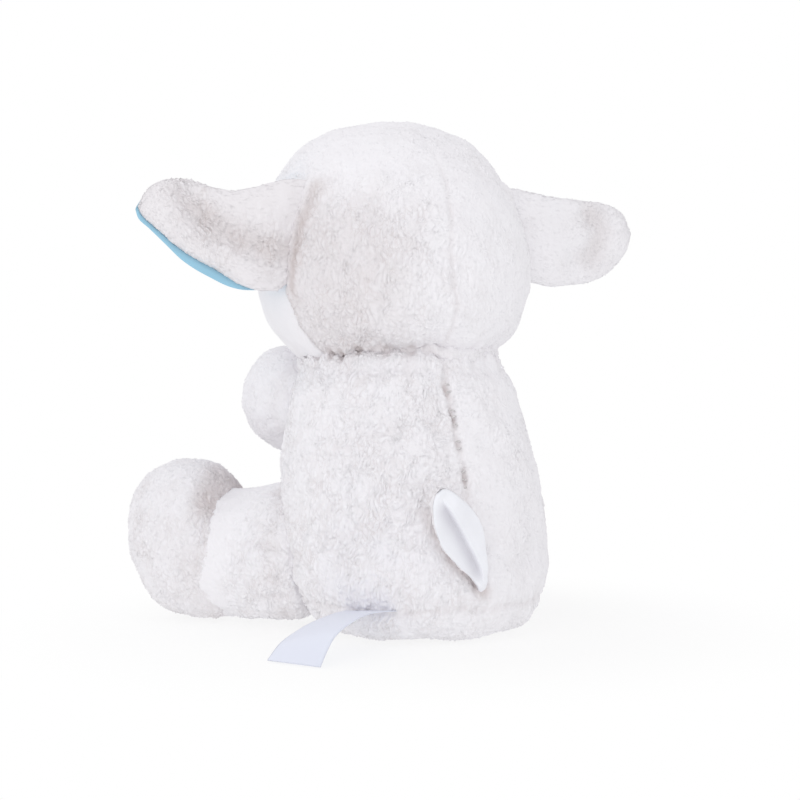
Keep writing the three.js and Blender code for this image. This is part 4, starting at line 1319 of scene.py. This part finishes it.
def ear_lining_shell(side, sizes):
    """Blue leaf inside an ear: it shows below the fleece, where its lower edge rolls up to the back. Gives
    the rings and each point's shade under the fleece's edge."""
    edges = EAR_EDGES[side]
    tip_x, tip_y = edges["lining"][-1]
    upper = [(x, y - 1.4) for x, y in edges["upper"][:-1]] + [(tip_x - 0.7, tip_y + 2.2), (tip_x, tip_y)]
    a, up, t, face = leaf_places(upper, edges["lining"], 110, 160)
    below = outline_at(edges["lower"], a) - up
    roll = (2.4 if side == LEFT else 0.9) * ease(-1.6, 0.8, below) * ease(-5, 10, a)
    places = np.stack([a, 2 * up, 0 * a], axis=-1).reshape(-1, 3)
    waves = wander(places, 26, 77).reshape(a.shape)
    soft = 0.9 * hump(t + 0.1, 0.16) - 0.9 * (1 - t * t) + 0.5 * waves * (1 - t ** 4)
    out = -1.5 + 1.0 * face + roll + np.where(face < 0, soft * ease(2, 20, a) * ease(78, 60, a) * -face, 0)
    return ear_point(side, a, up, out, sizes), 0.3 * ease(2.8, 0.2, below) * ease(-3, 0, below)


class PLUSH_OT_ears(Operator):
    """Makes both ears: a leaf of curly fleece behind and a blue lining leaf in front"""
    bl_idname = "plush.ears"
    bl_label = "Ears"

    def execute(self, context):
        sizes, colours = shared(context)
        # Darker blue of the painted shade under the fleece's edge, also the darker tone of the lining's
        # random nap.
        deep = [c * 0.72 for c in colours.blue]
        blue = finish_of("blue", lambda: velour_material("velour_pale_blue", colours.blue, deep))
        for name, side in SIDES:
            root, along, rise, _ = ear_frame(side)
            rings, valley, face = ear_cover_shell(side, sizes)
            points, faces = closed_rings(rings)
            normals = leaf_normals(points, faces, along)
            relative = points - root
            d = with_ends(valley)
            behind = with_ends((face > 0).astype(float))
            tuck = ease(4, -1, relative @ along) * (1 - behind)
            # Painted shade on the ear's fleece: a band along the valley and a little over the whole back,
            # and near the root on the front, where the ear tucks into the head.
            if side == LEFT:
                clear, even = 0.9, 0.2
                band = 0.26 * hump(d - 3, 6.5) * ease(12, 0, relative @ rise)
            else:
                clear, even = 0.2, 0.04
                band = 0.26 * hump(d, 7) * ease(30, 46, relative @ along)
            crisp = np.clip(0.12 + 0.12 * wander(points, 30, 75) + clear * hump(d - 2, 11), 0, 1)
            shade = behind * (band + even) + 0.25 * tuck
            points, shade = curled(points, normals, sizes, 23 + side, crisp, shade, 0.3 + 0.8 * behind)
            cover = finish_piece(name + "_ear_fleece", points, faces, fleece(colours), "curly_fleece",
                                 shade, crisp)
            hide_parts(name + "_ear_cover")
            rings, under = ear_lining_shell(side, sizes)
            lining = finish_piece(name + "_ear_blue_lining", *closed_rings(rings), blue, "blue_lining",
                                  with_ends(under))
            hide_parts(name + "_ear_lining")
            for piece in (cover, lining):
                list(on_axis(root, along, 1, 12))
                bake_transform(piece)
        return {"FINISHED"}


def with_ends(values):
    """The values of a leaf's rings in one row, and 0 for its two end points."""
    return np.concatenate([values.ravel(), [0, 0]])


def leaf_normals(points, faces, along):
    """Outward directions of a leaf's shell: its two end points look along its axis."""
    normals = normals_of(points, np.array([face for face in faces if len(face) == 4]))
    normals[-2], normals[-1] = -along, along
    return normals


def tail_point(a, c, out, sizes):
    """Place on the tail from its distances along, across and out of the leaf, whose edges lift away from the
    torso."""
    root, along, level, outward = tail_frame()
    long, wide = sizes.tail_length / MM / TAIL_LENGTH, sizes.tail_half_width / MM / TAIL_HALF_WIDTH
    lift = 0.02 * (c + 1) ** 2 * ease(0, 30, a) - 4 * ease(9, 0, a)
    return (root + along * (a * long)[..., None] + level * (c * wide)[..., None]
            + outward * (out + lift)[..., None])


class PLUSH_OT_tail(Operator):
    """Makes the folded tail: fleece towards the torso and a smooth white lining outside"""
    bl_idname = "plush.tail"
    bl_label = "Tail"

    def execute(self, context):
        sizes, colours = shared(context)
        root, along = tail_frame()[:2]
        left, right = TAIL_EDGES["left"], TAIL_EDGES["right"]
        a, c, t, face = leaf_places(right, left, 110, 170)
        points, faces = closed_rings(tail_point(a, c, -2.3 + 1.4 * face + 1.3 * np.abs(t) ** 4, sizes))
        normals = leaf_normals(points, faces, along)
        depth = 0.7 - 0.5 * ease(-0.2, 0.3, with_ends(face))
        points, shade = curled(points, normals, sizes, 29, 0.7, 0.08, depth)
        cover = finish_piece("tail_fleece", points, faces, fleece(colours), "curly_fleece", shade, 0.6)
        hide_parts("tail_cover")

        tip = (67, 0.4)
        inner_left = [(x, y + 0.1) for x, y in left[:-1]] + [tip]
        inner_right = [(x, y - 0.5) for x, y in right[:-1]] + [tip]
        a, c, t, face = leaf_places(inner_right, inner_left, 130, 260)
        beyond = c - outline_at(TAIL_EDGES["fold"], a)
        lobe, open_part = ease(0.0, 0.7, beyond), ease(8, 18, a) * ease(65, 56, a)
        relief = (2.2 * lobe * ease(11, 3, beyond) - 0.9 * (1 - lobe) * ease(-7, 0, beyond)) * open_part
        out = np.where(face > 0, 0.4 + 1.1 * face + relief * np.clip(face * 1.6, 0, 1), 0.4 + 0.9 * face)
        out = out - 0.6 * np.abs(t) ** 6
        shade = 0.55 * (1 - lobe) * hump(np.minimum(beyond, 0), 4.5) * open_part * (face > 0)
        # Darker grey of the painted shade in the tail's fold, also the darker tone of the lining's random
        # nap.
        deep = (0.78, 0.77, 0.80)
        white = finish_of("white", lambda: velour_material("velour_white", colours.white, deep))
        form = closed_rings(tail_point(a, c, out, sizes))
        lining = finish_piece("tail_white_lining", *form, white, "white_lining", with_ends(shade))
        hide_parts("tail_lining")
        for piece in (cover, lining):
            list(on_axis(root, along, 1, 12))
            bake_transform(piece)
        return {"FINISHED"}


# Limbs and label

def limb_pins(kind):
    """Held fast at the root end, and at the floor."""
    def pins(points):
        place = around_limb(points, kind, LEFT)[1]
        return np.maximum(ease(0, -8, place), ease(3.5, 1.5, points[:, 2]))
    return pins


class PLUSH_OT_arms(Operator):
    """Makes both stuffed arms of curly fleece"""
    bl_idname = "plush.arms"
    bl_label = "Arms"

    def execute(self, context):
        sizes, colours = shared(context)
        size = against(sizes.paw_half_width, PAW_HALF_WIDTH)
        rings = along_rings("arm", LEFT, ARM_STOPS, size, size)
        arm = finer("arm", *stuffed("arm", rings, limb_pins("arm"), voxel=4.2, cap=3.0), 3)
        for name, side in SIDES:
            form, faces = arm if side == LEFT else mirrored(*arm)
            _, place, angle = around_limb(form, "arm", side)
            root = hump(place - 1, 4)
            gathers = puckers(angle, 50 + side, 11) * hump(place - 4, 6)
            seam = hump(form[:, 0] - side * 31, 1.4) * ease(2, 10, place)
            obj = dressed(name + "_arm_fleece", form, faces, sizes, fleece(colours), 43 + side, 0.3,
                          0.9 * root + 0.6 * gathers + 0.3 * seam, 0.1 * root + 0.03 * seam)
            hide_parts(name + "_arm_outer_panel", name + "_arm_inner_panel", name + "_arm_stuffing")
            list(on_axis(*limb_frame("arm", side)[:2], -3, 16))
            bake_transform(obj)
        return {"FINISHED"}


def leg_surface(form, side):
    """Crispness of a leg's curls, and the depth and shade of its root, its gathers and the foot's seam."""
    _, place, angle = around_limb(form, "leg", side)
    root = hump(place + 1, 5)
    end = hump(place - 44, 3)
    gathers = (puckers(angle, 60 + side, 13) * hump(place - 2, 9)
               + 0.25 * puckers(angle, 64 + side, 17) * hump(place - 42, 5))
    curly = ease(34, 14, place + 0.3 * (form[:, 2] - 30))
    crisp = np.clip(0.12 + 0.6 * curly + 0.1 * wander(form, 30, 66), 0, 1)
    dents = 0.8 * root + 0.5 * end + 1.5 * gathers
    return crisp, dents, 0.12 * root + 0.06 * end + 0.14 * gathers


def foot_surface(form, side):
    """Crispness of a foot's curls, and the depth and shade of its seams, sole and shaded upper back."""
    joint, _, sideways, _ = limb_frame("leg", side)
    distance, place, _ = around_limb(form, "leg", side)
    seam = hump(distance - 30, 3) * ease(52, 46, place)
    middle = hump((form - joint) @ sideways, 1.3) * ease(60, 66, place)
    sole = hump(form[:, 2] - 3, 2)
    shaded = ease(47, 37, place - 0.1 * (form[:, 2] - 40)) * ease(48, 60, form[:, 2])
    crisp = np.clip(0.3 + 0.4 * hump(distance - 28, 14) + 0.15 * wander(form, 30, 67), 0, 1)
    shade = 0.06 + 0.1 * seam + 0.05 * middle + 0.08 * sole + 0.5 * shaded
    return crisp, 0.7 * seam + 0.5 * middle, shade


class PLUSH_OT_legs(Operator):
    """Makes both legs and both upright feet of curly fleece"""
    bl_idname = "plush.legs"
    bl_label = "Legs and feet"

    def execute(self, context):
        sizes, colours = shared(context)
        size = against(sizes.leg_half_width, LEG_HALF_WIDTH)
        rings = along_rings("leg", LEFT, LEG_STOPS, size, size, flat=1.5)
        leg = finer("leg", *stuffed("leg", rings, limb_pins("leg"), voxel=4.4, cap=3.0), 3)
        tall = against(sizes.foot_height, FOOT_HEIGHT)
        rings = along_rings("leg", LEFT, FOOT_STOPS, tall=tall, flat=1.2, tilt=0.1)
        joint, along = limb_frame("leg", LEFT)[:2]
        # The upper back of the foot leans away from the leg.
        lean = 5.4 * ease(53, 36, (rings - joint) @ along) * ease(44, 64, rings[..., 2])
        rings = rings + along * lean[..., None]
        foot = finer("foot", *stuffed("foot", rings, limb_pins("leg"), voxel=4.4, cap=3.0), 3)
        for name, side in SIDES:
            joint, along = limb_frame("leg", side)[:2]
            form, faces = leg if side == LEFT else mirrored(*leg)
            obj = dressed(name + "_leg_fleece", form, faces, sizes, fleece(colours), 53 + side,
                          *leg_surface(form, side))
            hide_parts(name + "_leg_outer_panel", name + "_leg_inner_panel", name + "_leg_stuffing")
            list(on_axis(joint, along, -5, 25))
            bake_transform(obj)
            form, faces = foot if side == LEFT else mirrored(*foot)
            obj = dressed(name + "_foot_fleece", form, faces, sizes, fleece(colours), 57 + side,
                          *foot_surface(form, side))
            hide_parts(name + "_foot_outer_panel", name + "_foot_inner_panel")
            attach(obj, name + "_leg")
        return {"FINISHED"}


class PLUSH_OT_label(Operator):
    """Makes the bare satin label that is sewn into the base seam and lies out on the floor"""
    bl_idname = "plush.label"
    bl_label = "Label"

    def execute(self, context):
        sizes, colours = shared(context)
        v = np.linspace(0, 1, 70)[:, None]
        u = np.linspace(0, 1, 26)[None, :, None]
        left, right = (through(stops, v) for stops in (LABEL_LEFT, LABEL_RIGHT))
        wide, long = sizes.label_width / MM / LABEL_WIDTH, sizes.label_length / MM / LABEL_LENGTH
        middle = (left + right) / 2
        middle = middle[:1] + (middle - middle[:1]) * long
        flat = middle + (right - left) * (u - 0.5) * wide
        flat[..., 2] += 0.5 * np.sin(u[..., 0] * math.pi) * np.sin(v * math.pi)
        down, across = np.gradient(flat, axis=0), np.gradient(flat, axis=1)
        normal = unit(np.cross(across, down))
        top, under = flat + normal * LABEL_HALF_THICKNESS, flat - normal * LABEL_HALF_THICKNESS
        form = closed_rings(np.concatenate([top, under[:, ::-1]], axis=1))
        satin = finish_of("satin", lambda: satin_material(colours))
        obj = finish_piece("satin_label", *form, satin, "satin_label")
        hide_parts("care_label")
        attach(obj, "torso")
        return {"FINISHED"}


# Panel and registration

OPERATORS = (PLUSH_OT_stage, PLUSH_OT_torso, PLUSH_OT_neck, PLUSH_OT_head, PLUSH_OT_ears, PLUSH_OT_tail,
             PLUSH_OT_arms, PLUSH_OT_legs, PLUSH_OT_label)


class PLUSH_PT_panel(Panel):
    """Lists the sheep's pieces, and their sizes and colours"""
    bl_label = "Plush Sheep"
    bl_idname = "PLUSH_PT_panel"
    bl_space_type = "VIEW_3D"
    bl_region_type = "UI"
    bl_category = "Plush"

    def draw(self, context):
        for operator in OPERATORS:
            self.layout.operator(operator.bl_idname)
        for group in shared(context):
            column = self.layout.column()
            for name in type(group).__annotations__:
                column.prop(group, name)


CLASSES = (PlushSizes, PlushColours, *OPERATORS, PLUSH_PT_panel)


def register():
    """Registers the classes and gives every scene the sizes and colours."""
    for cls in CLASSES:
        bpy.utils.register_class(cls)
    bpy.types.Scene.plush_sizes = PointerProperty(type=PlushSizes)
    bpy.types.Scene.plush_colours = PointerProperty(type=PlushColours)


def unregister():
    """Takes back what register() did."""
    del bpy.types.Scene.plush_sizes
    del bpy.types.Scene.plush_colours
    for cls in reversed(CLASSES):
        bpy.utils.unregister_class(cls)


def main():
    """Registers the classes, then makes the stage and all pieces in order."""
    register()
    for operator in OPERATORS:
        group, name = operator.bl_idname.split(".")
        getattr(getattr(bpy.ops, group), name)()


if __name__ == "__main__":
    main()
